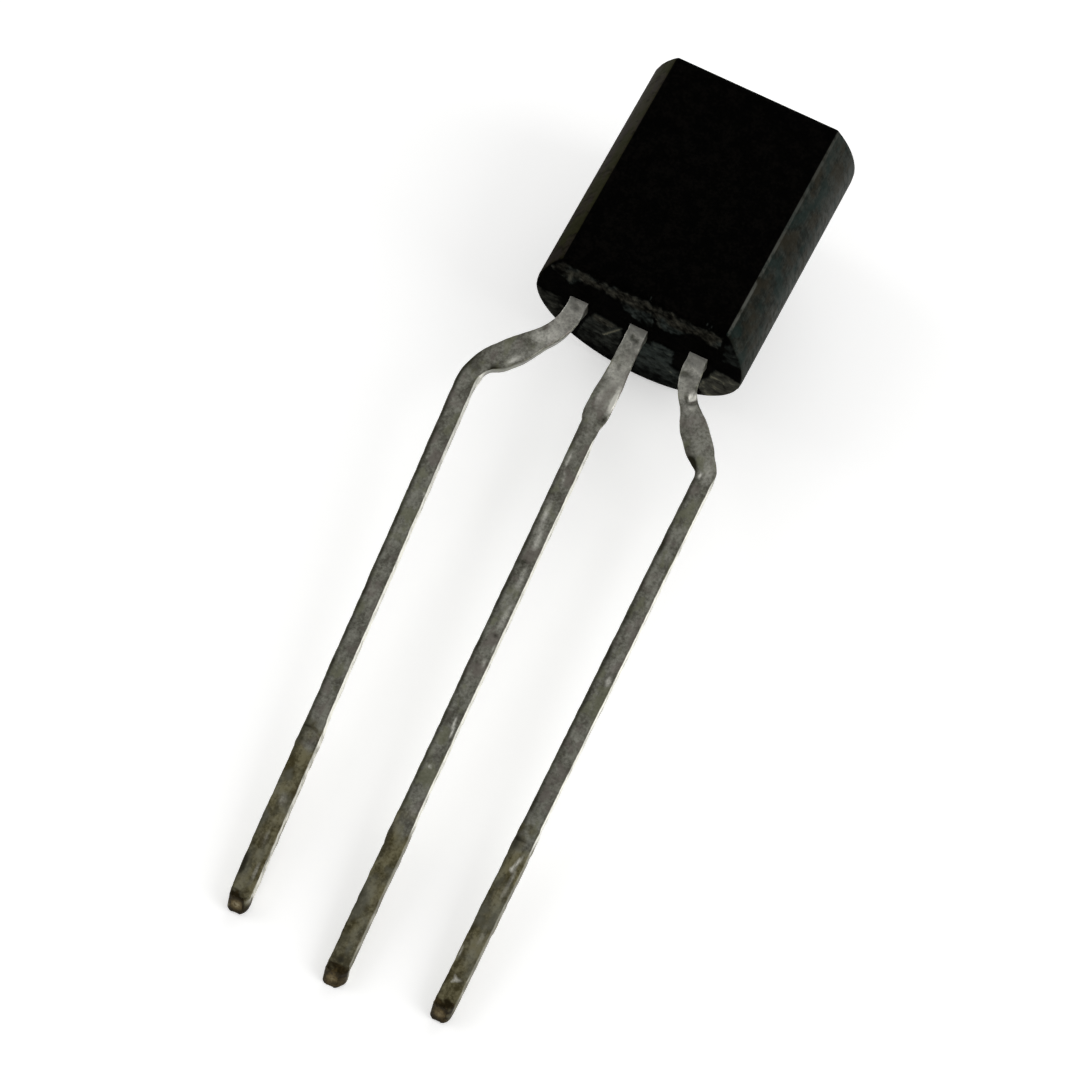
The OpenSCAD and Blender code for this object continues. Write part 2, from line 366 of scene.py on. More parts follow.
@dataclass(frozen=True)
class LeadForm:
    """How one lead leaves the case, is formed and ends. Lengths in millimetres, angles in degrees."""

    name: str
    exit_x: float
    spread: float
    splay: float
    run: float
    bend_radius: float
    stub_left: float
    stub_right: float
    left_tail: float = 0.0
    right_tail: float = 0.15
    length: float = 14.04
    exit_width: float = 0.38
    lane_width: float = 0.355
    exit_run: float = 0.2
    first_radius: float = 1.2
    stub_start: float = 1.0
    stub_rise: float = 0.6
    stub_length: float = 0.36
    stub_shoulder: float = 0.18

    @property
    def stub_end(self) -> float:
        """Distance along the lead at which the tie-bar stub ends."""
        return self.stub_start + self.stub_rise + self.stub_length + self.stub_shoulder

    @property
    def first_end(self) -> float:
        """Distance along the lead at which the first bend ends."""
        return self.exit_run + self.first_radius * math.radians(abs(self.spread))

    @property
    def second_start(self) -> float:
        """Distance along the lead at which the second bend starts."""
        return self.stub_end + self.run

    @property
    def second_end(self) -> float:
        """Distance along the lead at which the second bend ends."""
        return self.second_start + self.bend_radius * math.radians(abs(self.splay - self.spread))

    def turned(self, distance: float) -> tuple[float, float]:
        """Returns how far each bend has turned the lead.

        Args:
            distance: The distance along the lead.

        Returns:
            The turns of the first and of the second bend, in degrees.
        """
        first = (distance - self.exit_run) / (self.first_end - self.exit_run)
        second = (distance - self.second_start) / (self.second_end - self.second_start)
        return self.spread * clamp(first), (self.splay - self.spread) * clamp(second)

    def heading(self, distance: float) -> float:
        """Returns the lead's direction at a distance, in radians from -Y towards +X."""
        return math.radians(sum(self.turned(distance)))

    def point(self, distance: float) -> Vector:
        """Returns a point of the centre line.

        Args:
            distance: Its distance from the exit along the lead.

        Returns:
            The point.
        """
        first, second = self.turned(distance)
        between = clamp(distance, self.first_end, self.second_start) - self.first_end
        place = Vector((self.exit_x, 0.0, 0.0)) + min(distance, self.exit_run) * downwards(0.0)
        place += bend(self.first_radius, 0.0, first) + between * downwards(self.spread)
        place += bend(self.bend_radius, self.spread, self.spread + second)
        return place + max(distance - self.second_end, 0.0) * downwards(self.splay)

    def half_width(self, distance: float, proud: float, tail: float = 0.0) -> float:
        """Returns half the lead's width at a distance.

        Args:
            distance: The distance along the lead.
            proud: How far the stub stands out on this side.
            tail: How much farther the stub takes to fade out on this side.

        Returns:
            The half width on this side.
        """
        stops = (
            (self.stub_start, self.exit_width / 2),
            (self.stub_start + self.stub_rise, self.exit_width / 2 + proud),
            (self.stub_end - self.stub_shoulder, self.exit_width / 2 + proud),
            (self.stub_end + tail, self.lane_width / 2),
        )
        if distance <= stops[0][0]:
            return stops[0][1]
        for (low, before), (high, after) in zip(stops, stops[1:]):
            if distance <= high:
                return before + (after - before) * smoothstep(low, high, distance)
        return stops[-1][1]

    def farthest_x(self, steps: int = 12) -> float:
        """Returns how far sideways the lead below its stub stands from the middle of the package.

        Args:
            steps: How many steps along the lead are looked at.

        Returns:
            The largest distance.
        """
        side = math.copysign(self.lane_width / 2, self.spread)
        reach = 0.0
        for distance in spread(self.stub_end, self.length, steps):
            angle = self.heading(distance)
            reach = max(reach, abs(self.point(distance).x + side * math.cos(angle)))
        return reach


@dataclass(frozen=True)
class PackageSizes:
    """Sizes of the package that its pieces share, in millimetres and degrees."""

    case_width: float = 4.4
    case_height: float = 5.12
    flat_depth: float = 1.36
    flat_draft: float = 2.5
    round_draft: float = 4.0
    flat_edge_radius: float = 0.14
    strip_thickness: float = 0.38
    collector: LeadForm = LeadForm("collector", -1.27, -38.0, 5.8, 0.01, 0.95, 0.04, 0.11, 0.40, 0.30)
    base: LeadForm = LeadForm("base", 0.0, 2.1, 3.8, 0.17, 0.45, 0.06, 0.045)
    emitter: LeadForm = LeadForm("emitter", 1.27, 39.5, 1.95, 0.17, 0.45, 0.12, 0.08, 0.55, 0.60)

    @property
    def radius(self) -> float:
        """Radius of the round back."""
        return self.case_width / 2

    @property
    def back_inset(self) -> float:
        """How far the end faces draw in at the back."""
        return self.radius * math.tan(math.radians(self.round_draft))

    @property
    def leads(self) -> tuple[LeadForm, LeadForm, LeadForm]:
        """The three leads from -X to +X."""
        return self.collector, self.base, self.emitter


@dataclass(frozen=True)
class LyingPose:
    """Turns the package's frame into the solids' frame: on its lower back edge and longest tip."""

    sizes: PackageSizes

    @property
    def tilt(self) -> float:
        """How far the package leans back onto its lead tips, in radians."""
        s = self.sizes
        return math.atan((s.radius - s.strip_thickness / 2) / (s.back_inset + self._reach()))

    def _reach(self) -> float:
        """How far the longest lead reaches below the case."""
        return max(-lead.point(lead.length).y for lead in self.sizes.leads)

    @property
    def matrix(self) -> Matrix:
        """The move from the package's frame in millimetres to the solids' frame in metres."""
        s, tilt = self.sizes, self.tilt
        far = (s.case_height - s.back_inset) * math.cos(tilt) + s.radius * math.sin(tilt)
        near = -self._reach() * math.cos(tilt) + s.strip_thickness / 2 * math.sin(tilt)
        lift = s.radius * math.cos(tilt) - s.back_inset * math.sin(tilt)
        left = -max(s.radius, s.collector.farthest_x())
        right = max(s.radius, s.emitter.farthest_x())
        shift = Matrix.Translation((-(left + right) / 2, -(near + far) / 2, lift))
        return Matrix.Scale(MILLIMETRE, 4) @ shift @ Matrix.Rotation(tilt, 4, "X")

    def place(self, point: Sequence[float]) -> Vector:
        """Returns a point of the package in the solids' frame."""
        return self.matrix @ Vector(point)

    def direction(self, vector: Sequence[float]) -> Vector:
        """Returns a direction of the package in the solids' frame."""
        return (self.matrix.to_3x3() @ Vector(vector)).normalized()

    def back_to_package(self) -> tuple[tuple[float, float, float], tuple[float, float, float]]:
        """Returns the turn and the shift with which a Mapping node undoes the pose."""
        back = self.matrix.inverted()
        return (-self.tilt, 0.0, 0.0), tuple(back.translation)


# ---------------------------------------------------------------- finishes


@dataclass(frozen=True)
class EpoxySpot:
    """What the epoxy's finish reads at the point being shaded: its place and the shared noises."""

    x: Value
    y: Value
    z: Value
    left: Value
    high: Value
    lines: Value
    mottle: Value
    speck: Value
    drag: Value
    tint: Value
    texture: Value


@dataclass(frozen=True)
class MouldedEpoxy:
    """Black filled epoxy: matt black on the flat, duller and streaked on the round sides, pale where worn.

    Part of its colour is painted light and shade: painted shade on the left side, which turns paler
    towards the top as painted light, a painted highlight line along the flat's right edge, and painted
    light in the pale of the lower end's patches and chewed strip.

    The spans are where a side starts and where it has taken over, on X or on Y, and the bands are
    the same as depths below the surface, all in millimetres.
    """

    flat_colour: Colour = (0.0006, 0.0006, 0.0005)
    flat_pale: Colour = (0.0026, 0.0022, 0.0018)
    side_colour: Colour = (0.0085, 0.0100, 0.0075)
    side_pale: Colour = (0.0260, 0.0290, 0.0240)
    side_teal: Colour = (0.0100, 0.0195, 0.0170)
    side_brown: Colour = (0.0220, 0.0190, 0.0120)
    # The left colours are painted shade on the left side, with painted light in its paler streaks towards the
    # top.
    left_dark: Colour = (0.0060, 0.0055, 0.0028)
    left_pale: Colour = (0.0240, 0.0212, 0.0128)
    left_plum: Colour = (0.0230, 0.0180, 0.0170)
    left_olive: Colour = (0.0190, 0.0200, 0.0070)
    edge_highlight: Colour = (0.078, 0.080, 0.070)
    belly_pale: Colour = (0.046, 0.048, 0.042)
    # The worn colours also take painted light: the pale patches and the bright streak on the lower end.
    worn_and_lit_cool: Colour = (0.040, 0.049, 0.045)
    worn_and_lit_warm: Colour = (0.062, 0.059, 0.046)
    chipped_and_glint: Colour = (0.150, 0.145, 0.105)
    lines: Cloud = Cloud(0.05, scale=(1.0, 0.06, 1.0))
    mottle: Cloud = Cloud(0.26, 4.0, 0.65)
    speck: Cloud = Cloud(0.06, 3.0, 0.65)
    drift: Cloud = Cloud(1.3, 2.0, 0.5)
    drag: Cloud = Cloud(0.11, scale=(0.5, 1.0, 0.35))
    tint: Cloud = Cloud(0.42, scale=(-1.0, 0.8, 1.0))
    left_span: tuple[float, float] = (-1.0, 0.0)
    right_span: tuple[float, float] = (0.0, 0.5)
    high_span: tuple[float, float] = (0.4, 4.6)
    round_band: tuple[float, float] = (0.03, 0.008)
    flat_band: tuple[float, float] = (0.012, 0.004)
    rim_band: tuple[float, float] = (0.070, 0.035)
    facing_band: tuple[float, float] = (0.02, 0.005)
    relief: float = 0.006
    specular: float = 0.06

    def _spot(self, sheet: NodeSheet, pose: LyingPose) -> EpoxySpot:
        """Adds the nodes that several parts of the finish read.

        Args:
            sheet: The finish's nodes.
            pose: How the package lies.

        Returns:
            Their values.
        """
        place = sheet.package(pose)
        x, y, z = sheet.split(place)
        noises = (self.lines, self.mottle, self.speck, self.drift, self.drag, self.tint)
        lines, mottle, speck, drift, drag, tint = (sheet.cloud(place, cloud) for cloud in noises)
        texture = 0.12 * lines + 0.30 * mottle + 0.20 * speck + 0.18 * drift + 0.20 * drag
        left, high = x.fall(*self.left_span), y.rise(*self.high_span)
        return EpoxySpot(x, y, z, left, high, lines, mottle, speck, drag, tint, texture)

    def _sides(self, sheet: NodeSheet, sizes: PackageSizes, at: EpoxySpot) -> Value:
        """Returns the colour of the round sides, with a painted highlight line along the flat's right edge.

        Args:
            sheet: The finish's nodes.
            sizes: The package's sizes.
            at: The point being shaded.

        Returns:
            The colour.
        """
        side = sheet.blend(at.texture.rise(0.42, 0.58), self.side_colour, self.side_pale)
        side = sheet.blend(0.7 * at.tint.rise(0.50, 0.62), side, self.side_teal)
        side = sheet.blend(0.7 * at.tint.fall(0.38, 0.50), side, self.side_brown)
        # painted shade: the left side takes its darker colours
        side = sheet.blend(at.left, side, self._left(sheet, at))
        # painted highlight: a pale line along the flat's right edge, stronger towards the lower end
        right = at.x.rise(*self.right_span)
        rim = at.z.rise(*(sizes.flat_depth - depth for depth in self.rim_band)) * right
        rim = rim * (0.40 + 0.60 * at.y.fall(0.5, 4.2)) * at.mottle.rise(0.30, 0.56)
        side = sheet.blend(rim, side, self.edge_highlight)
        swell = at.z + 0.9 * (at.mottle - 0.5) + 0.4 * (at.speck - 0.5)
        belly = 0.65 * swell.fall(0.20, 0.75) * right * (0.25 + 1.5 * at.drag.rise(0.34, 0.66))
        belly = belly * (0.55 + 0.45 * at.y.rise(0.2, 1.8))
        return sheet.blend(belly, side, self.belly_pale)

    def _left(self, sheet: NodeSheet, at: EpoxySpot) -> Value:
        """Returns the colour of the left side: darker as painted shade, paler towards the top as painted
        light.

        Args:
            sheet: The finish's nodes.
            at: The point being shaded.

        Returns:
            The colour.
        """
        # painted light: more of the pale colour towards the top
        height = 0.42 + 0.85 * at.high
        broken = 0.1 + 1.5 * at.drag.rise(0.34, 0.62) + 0.4 * at.speck
        olive = sheet.blend(height * broken, self.left_dark, self.left_pale)
        olive = sheet.blend(0.6 * at.tint.rise(0.50, 0.60), olive, self.left_plum)
        return sheet.blend(0.7 * at.tint.fall(0.40, 0.50), olive, self.left_olive)

    def _shine(self, sizes: PackageSizes, at: EpoxySpot, around: Value) -> Value:
        """Returns how much of the surface is glossy.

        Args:
            sizes: The package's sizes.
            at: The point being shaded.
            around: How far it belongs to the round sides.

        Returns:
            The share of the glossy shader, from 0 to 1.
        """
        lit = around * (0.52 - at.left * (0.46 - 0.22 * at.high)) * (0.55 + 0.9 * at.texture.rise(0.38, 0.62))
        facing = at.z.rise(*(sizes.flat_depth - depth for depth in self.facing_band))
        return 0.04 + 0.08 * facing + lit * (1.0 - 0.55 * at.y.fall(0.1, 1.2))

    def material(self, pose: LyingPose) -> bpy.types.Material:
        """Makes the finish.

        Args:
            pose: How the package lies.

        Returns:
            The material.
        """
        made = bpy.data.materials.new("moulded_epoxy")
        sheet = NodeSheet(made)
        s = pose.sizes
        at = self._spot(sheet, pose)
        around = (at.x * at.x + at.z * at.z).rise(*((s.radius - depth) ** 2 for depth in self.round_band))
        around = around * at.z.fall(*(s.flat_depth - depth for depth in self.flat_band))
        cloudy = (0.5 * at.mottle + 0.5 * at.speck).rise(0.45, 0.62)
        black = sheet.blend(cloudy, self.flat_colour, self.flat_pale)
        colour = sheet.blend(around, black, self._sides(sheet, s, at))
        # the pale is wear, and painted light on the lower end's patches, streak and chewed strip
        pale = sheet.painted("pale")
        worn = sheet.blend(sheet.painted("warm"), self.worn_and_lit_cool, self.worn_and_lit_warm)
        colour = sheet.blend((pale * (0.35 + 1.3 * at.speck)).rise(0.06, 1.15), colour, worn)
        # the palest spots: painted glints on the lower end, with pale scratches
        colour = sheet.blend(pale.rise(1.0, 1.4), colour, self.chipped_and_glint)
        normal = sheet.bump(0.5 * at.speck + 0.3 * at.lines + 0.2 * at.mottle, self.relief)
        gloss = sheet.glossy(
            {
                "Base Color": colour,
                "Roughness": 0.44 + 0.16 * at.mottle,
                "Specular IOR Level": self.specular,
                "Normal": normal,
            }
        )
        matt = sheet.value("ShaderNodeBsdfDiffuse", inputs={"Color": colour, "Normal": normal})
        shine = self._shine(s, at, around)
        sheet.finish_with(sheet.value("ShaderNodeMixShader", inputs={0: shine, 1: matt, 2: gloss}))
        return made


@dataclass(frozen=True)
class TinSpot:
    """What the tin's finish reads at the point being shaded: its facts and the shared noises."""

    tone: Value
    crust: Value
    cut: Value
    mottle: Value
    blotch: Value
    fine: Value
    tint: Value
    patch: Value


@dataclass(frozen=True)
class DullTin:
    """Tin plating gone dull, with residue on the lower ends and bare copper at the cut tips."""

    plating: Colour = (0.345, 0.345, 0.295)
    plating_dark: Colour = (0.120, 0.116, 0.093)
    plum: Colour = (0.215, 0.188, 0.168)
    olive: Colour = (0.235, 0.240, 0.160)
    # The bright colour takes painted highlights and glints, and the grime colour takes painted shade as well
    # as grime.
    bright: Colour = (0.96, 0.945, 0.86)
    grime_and_shade: Colour = (0.030, 0.028, 0.018)
    crust: Colour = (0.198, 0.180, 0.104)
    crust_dark: Colour = (0.062, 0.052, 0.022)
    slate: Colour = (0.21, 0.215, 0.180)
    scorched: Colour = (0.070, 0.050, 0.020)
    copper: Colour = (0.142, 0.106, 0.050)
    copper_dark: Colour = (0.016, 0.011, 0.003)
    copper_glint: Colour = (0.30, 0.26, 0.165)
    mottle: Cloud = Cloud(0.45, 4.0)
    blotch: Cloud = Cloud(0.20, 4.0, 0.55, (1.0, 0.45, 1.0))
    fine: Cloud = Cloud(0.06, 3.0, 0.65)
    tint: Cloud = Cloud(0.30, scale=(1.0, 0.6, 1.0))
    patch: Cloud = Cloud(0.34, 3.0, 0.5, (1.0, 0.7, 1.0))
    relief: float = 0.016
    specular: float = 0.2

    def _spot(self, sheet: NodeSheet, pose: LyingPose) -> TinSpot:
        """Adds the nodes that several parts of the finish read.

        Args:
            sheet: The finish's nodes.
            pose: How the package lies.

        Returns:
            Their values.
        """
        place = sheet.package(pose)
        facts = (sheet.painted(key) for key in ("tone", "crust", "cut"))
        noises = (self.mottle, self.blotch, self.fine, self.tint, self.patch)
        return TinSpot(*facts, *(sheet.cloud(place, cloud) for cloud in noises))

    def _plated(self, sheet: NodeSheet, at: TinSpot) -> Value:
        """Returns the colour of the plating: painted highlights where its tone is above 0, painted shade and
        grime below.

        Args:
            sheet: The finish's nodes.
            at: The point being shaded.

        Returns:
            The colour.
        """
        mixed = 0.30 * at.mottle + 0.34 * at.blotch + 0.36 * at.fine
        colour = sheet.blend(mixed.rise(0.38, 0.62), self.plating_dark, self.plating)
        colour = sheet.blend(0.65 * at.tint.rise(0.53, 0.64), colour, self.plum)
        colour = sheet.blend(0.65 * at.tint.fall(0.36, 0.47), colour, self.olive)
        broken = 0.5 * at.blotch + 0.5 * at.fine
        # painted highlights and glints where the tone is above 0
        colour = sheet.blend((at.tone * (2.4 * broken - 0.2)).rise(0.0, 1.1), colour, self.bright)
        # painted shade, with grime, where the tone is below 0
        return sheet.blend((-1.0 * at.tone * (0.6 + 0.8 * at.mottle)).rise(0.0, 1.1), colour, self.grime_and_shade)

    def _residue(self, sheet: NodeSheet, at: TinSpot) -> Value:
        """Returns the colour of the residue.

        Args:
            sheet: The finish's nodes.
            at: The point being shaded.

        Returns:
            The colour.
        """
        stain = sheet.blend((0.66 * at.blotch + 0.34 * at.fine).rise(0.40, 0.61), self.crust_dark, self.crust)
        stain = sheet.blend(0.45 * at.patch.rise(0.45, 0.70), stain, self.slate)
        # painted shade, with grime, darkens the residue too
        return sheet.blend((-1.0 * at.tone).rise(0.2, 1.0), stain, self.grime_and_shade)

    def _bare(self, sheet: NodeSheet, at: TinSpot) -> Value:
        """Returns the colour of the copper at the cut, with a painted glint in the middle of the cut face.

        Args:
            sheet: The finish's nodes.
            at: The point being shaded.

        Returns:
            The colour.
        """
        scorch = (0.6 * at.blotch + 0.4 * at.fine).rise(0.45, 0.65)
        bare = sheet.blend(scorch, self.copper_dark, self.scorched)
        bare = sheet.blend(at.cut.rise(0.38, 0.80) * (1.8 * at.fine - 0.1), bare, self.copper)
        # painted glint in the middle of the cut face
        return sheet.blend(at.cut.rise(0.65, 1.05) * at.fine.rise(0.30, 0.65), bare, self.copper_glint)

    def material(self, pose: LyingPose) -> bpy.types.Material:
        """Makes the finish.

        Args:
            pose: How the package lies.

        Returns:
            The material.
        """
        made = bpy.data.materials.new("dull_tin")
        sheet = NodeSheet(made)
        at = self._spot(sheet, pose)
        # painted highlights show through the residue
        cover = (at.crust * (1.0 - 0.8 * at.tone.rise(0.2, 0.9)) * (0.45 + at.mottle)).lowest(1.0)
        colour = sheet.blend(cover, self._plated(sheet, at), self._residue(sheet, at))
        colour = sheet.blend((at.cut * (1.2 + 3.2 * at.mottle)).lowest(1.0), colour, self._bare(sheet, at))
        shader = sheet.glossy(
            {
                "Base Color": colour,
                "Roughness": (0.36 + 0.14 * at.mottle + 0.12 * at.crust).lowest(0.75),
                "Metallic": 1.0 - 0.25 * at.crust,
                "Specular IOR Level": self.specular,
                "Normal": sheet.bump(0.25 * at.fine + 0.75 * at.blotch, self.relief),
            }
        )
        sheet.finish_with(shader)
        return made


@dataclass(frozen=True)
class PlainMetal:
    """A clean metal or silicon surface of one colour, with a faint grain."""

    name: str
    colour: Colour
    dark: Colour
    roughness: float
    metallic: float
    grain_size: float
    relief: float = 0.001

    def material(self, pose: LyingPose) -> bpy.types.Material:
        """Makes the finish.

        Args:
            pose: How the package lies.

        Returns:
            The material.
        """
        made = bpy.data.materials.new(self.name)
        sheet = NodeSheet(made)
        cloudy = sheet.cloud(sheet.package(pose), Cloud(self.grain_size))
        shader = sheet.glossy(
            {
                "Base Color": sheet.blend(cloudy.rise(0.35, 0.65), self.dark, self.colour),
                "Roughness": self.roughness * (0.8 + 0.4 * cloudy),
                "Metallic": self.metallic,
                "Normal": sheet.bump(cloudy, self.relief),
            }
        )
        sheet.finish_with(shader)
        return made


# ---------------------------------------------------------------- meshes


def merged_copy(node: bpy.types.Object, pose: LyingPose) -> bmesh.types.BMesh:
    """Copies a solid's mesh into the package's frame, with whole faces in place of its triangles.

    Args:
        node: The solid's object.
        pose: How the package lies.

    Returns:
        The merged copy, in millimetres.
    """
    mesh = bmesh.new()
    mesh.from_mesh(node.data)
    mesh.transform(pose.matrix.inverted())
    bmesh.ops.remove_doubles(mesh, verts=mesh.verts, dist=MERGE_DISTANCE)
    bmesh.ops.dissolve_limit(
        mesh, angle_limit=FLAT_ANGLE, use_dissolve_boundaries=False, verts=mesh.verts, edges=mesh.edges
    )
    return mesh


def cut_faces(mesh: bmesh.types.BMesh, chosen: FaceTest, axis: int, places: Iterable[float]) -> None:
    """Cuts the chosen faces into strips.

    Args:
        mesh: The mesh.
        chosen: Says whether a face is to be cut.
        axis: The axis that the cuts stand across, 0 to 2.
        places: Where each cut is on that axis.
    """
    normal = Vector([float(i == axis) for i in range(3)])
    for place in places:
        faces = [face for face in mesh.faces if chosen(face)]
        parts = set(faces)
        for face in faces:
            parts.update(face.edges)
            parts.update(face.verts)
        bmesh.ops.bisect_plane(
            mesh, geom=list(parts), dist=MERGE_DISTANCE, plane_co=normal * place, plane_no=normal
        )


def sweep(mesh: bmesh.types.BMesh, rings: Sequence[Sequence[Vector]]) -> list[list[bmesh.types.BMVert]]:
    """Runs one closed outline through a series of places.

    Args:
        mesh: The mesh that it is added to, with its two ends open.
        rings: The outline's points at each place, in the same order.

    Returns:
        The vertices of each ring, in the order of its points.
    """
    first = bmesh.ops.create_circle(mesh, cap_ends=False, segments=len(rings[0]), radius=1.0)["verts"]
    for vert, place in zip(first, rings[0]):
        vert.co = place
    edges = list(dict.fromkeys(edge for vert in first for edge in vert.link_edges))
    made = [first]
    for ring in rings[1:]:
        grown = bmesh.ops.extrude_edge_only(mesh, edges=edges)["geom"]
        fresh = {part for part in grown if isinstance(part, bmesh.types.BMVert)}
        edges = [p for p in grown if isinstance(p, bmesh.types.BMEdge) and fresh.issuperset(p.verts)]
        ahead = {e.other_vert(v): v for v in fresh for e in v.link_edges if e.other_vert(v) not in fresh}
        made.append([ahead[vert] for vert in made[-1]])
        for vert, place in zip(made[-1], ring):
            vert.co = place
    return made


def add_object(name: str, data: bpy.types.ID) -> bpy.types.Object:
    """Adds an object to the scene.

    Args:
        name: The object's name.
        data: Its mesh, lamp or camera.

    Returns:
        The object.
    """
    made = bpy.data.objects.new(name, data)
    bpy.context.scene.collection.objects.link(made)
    return made


def finish_piece(
    mesh: bmesh.types.BMesh, name: str, pose: LyingPose, material: bpy.types.Material, smooth: float = 40.0
) -> bpy.types.Object:
    """Makes an object of a mesh built in the package's frame.

    Args:
        mesh: The mesh, which is used up.
        name: The piece's name.
        pose: How the package lies.
        material: The piece's finish.
        smooth: Edges that turn by less than this many degrees are shaded smooth.

    Returns:
        The piece, with its place in its mesh.
    """
    mesh.transform(pose.matrix)
    data = bpy.data.meshes.new(name)
    mesh.to_mesh(data)
    mesh.free()
    data.materials.append(material)
    piece = add_object(name, data)
    data.shade_smooth()
    data.set_sharp_from_angle(angle=math.radians(smooth))
    return piece


# ---------------------------------------------------------------- leads


class Side(Enum):
    """The four sides of a lead's section."""

    FRONT = (0.0, 1.0)
    RIGHT = (1.0, 0.0)
    BACK = (0.0, -1.0)
    LEFT = (-1.0, 0.0)


@dataclass(frozen=True)
class BlemishAndLight:
    """A small dent, bump, stain, painted highlight or painted shade on one side of a lead, in millimetres.

    `along` runs from the exit to the tip. `across` runs towards +X on the front and back, and
    towards the flat on the left and right. `rise` lifts the surface on the front and back, and
    moves the whole long edge outwards on the left and right. `tone` is bright above 0, for stains
    and painted highlights, and dark below 0, for grime and painted shade, and `turn` is in degrees.
    """

    along: float
    across: float
    length: float
    width: float
    rise: float = 0.0
    tone: float = 0.0
    side: Side = Side.FRONT
    turn: float = 0.0

    def share(self, along: float, across: float) -> float:
        """Returns how much of it there is at a point.

        Args:
            along: The point's distance along the lead.
            across: Its place across this side.

        Returns:
            The share, from 0 to 1.
        """
        cos, sin = math.cos(math.radians(self.turn)), math.sin(math.radians(self.turn))
        a, b = along - self.along, across - self.across
        return math.exp(-(((a * cos + b * sin) / self.length) ** 2) - ((b * cos - a * sin) / self.width) ** 2)


@dataclass(frozen=True)
class SectionPoint:
    """One point of a lead's section: its place in the middle of a side or round a corner."""

    across: float
    deep: float
    normal: tuple[float, float]
    corner: bool

    @property
    def hand(self) -> float:
        """1 on the right half of the section and -1 on the left."""
        return 1.0 if self.across > 0 else -1.0


@dataclass(frozen=True)
class Station:
    """What the points of one ring round a lead share.

    `bare` is how much of the wear shows there. `halves` are the widths of the left and the right
    half, at -1 and 1, and `lean` is how much narrower each is at the back. `rounding` is the
    radius of the long edges, and `rolled` is what the front right one has on top of it. `slant` is
    how much of the cut's slant the ring has.
    """

    bare: float
    halves: dict[float, float]
    lean: dict[float, float]
    rounding: float
    rolled: float
    slant: float


RingPoint = tuple[Vector, dict[str, float]]


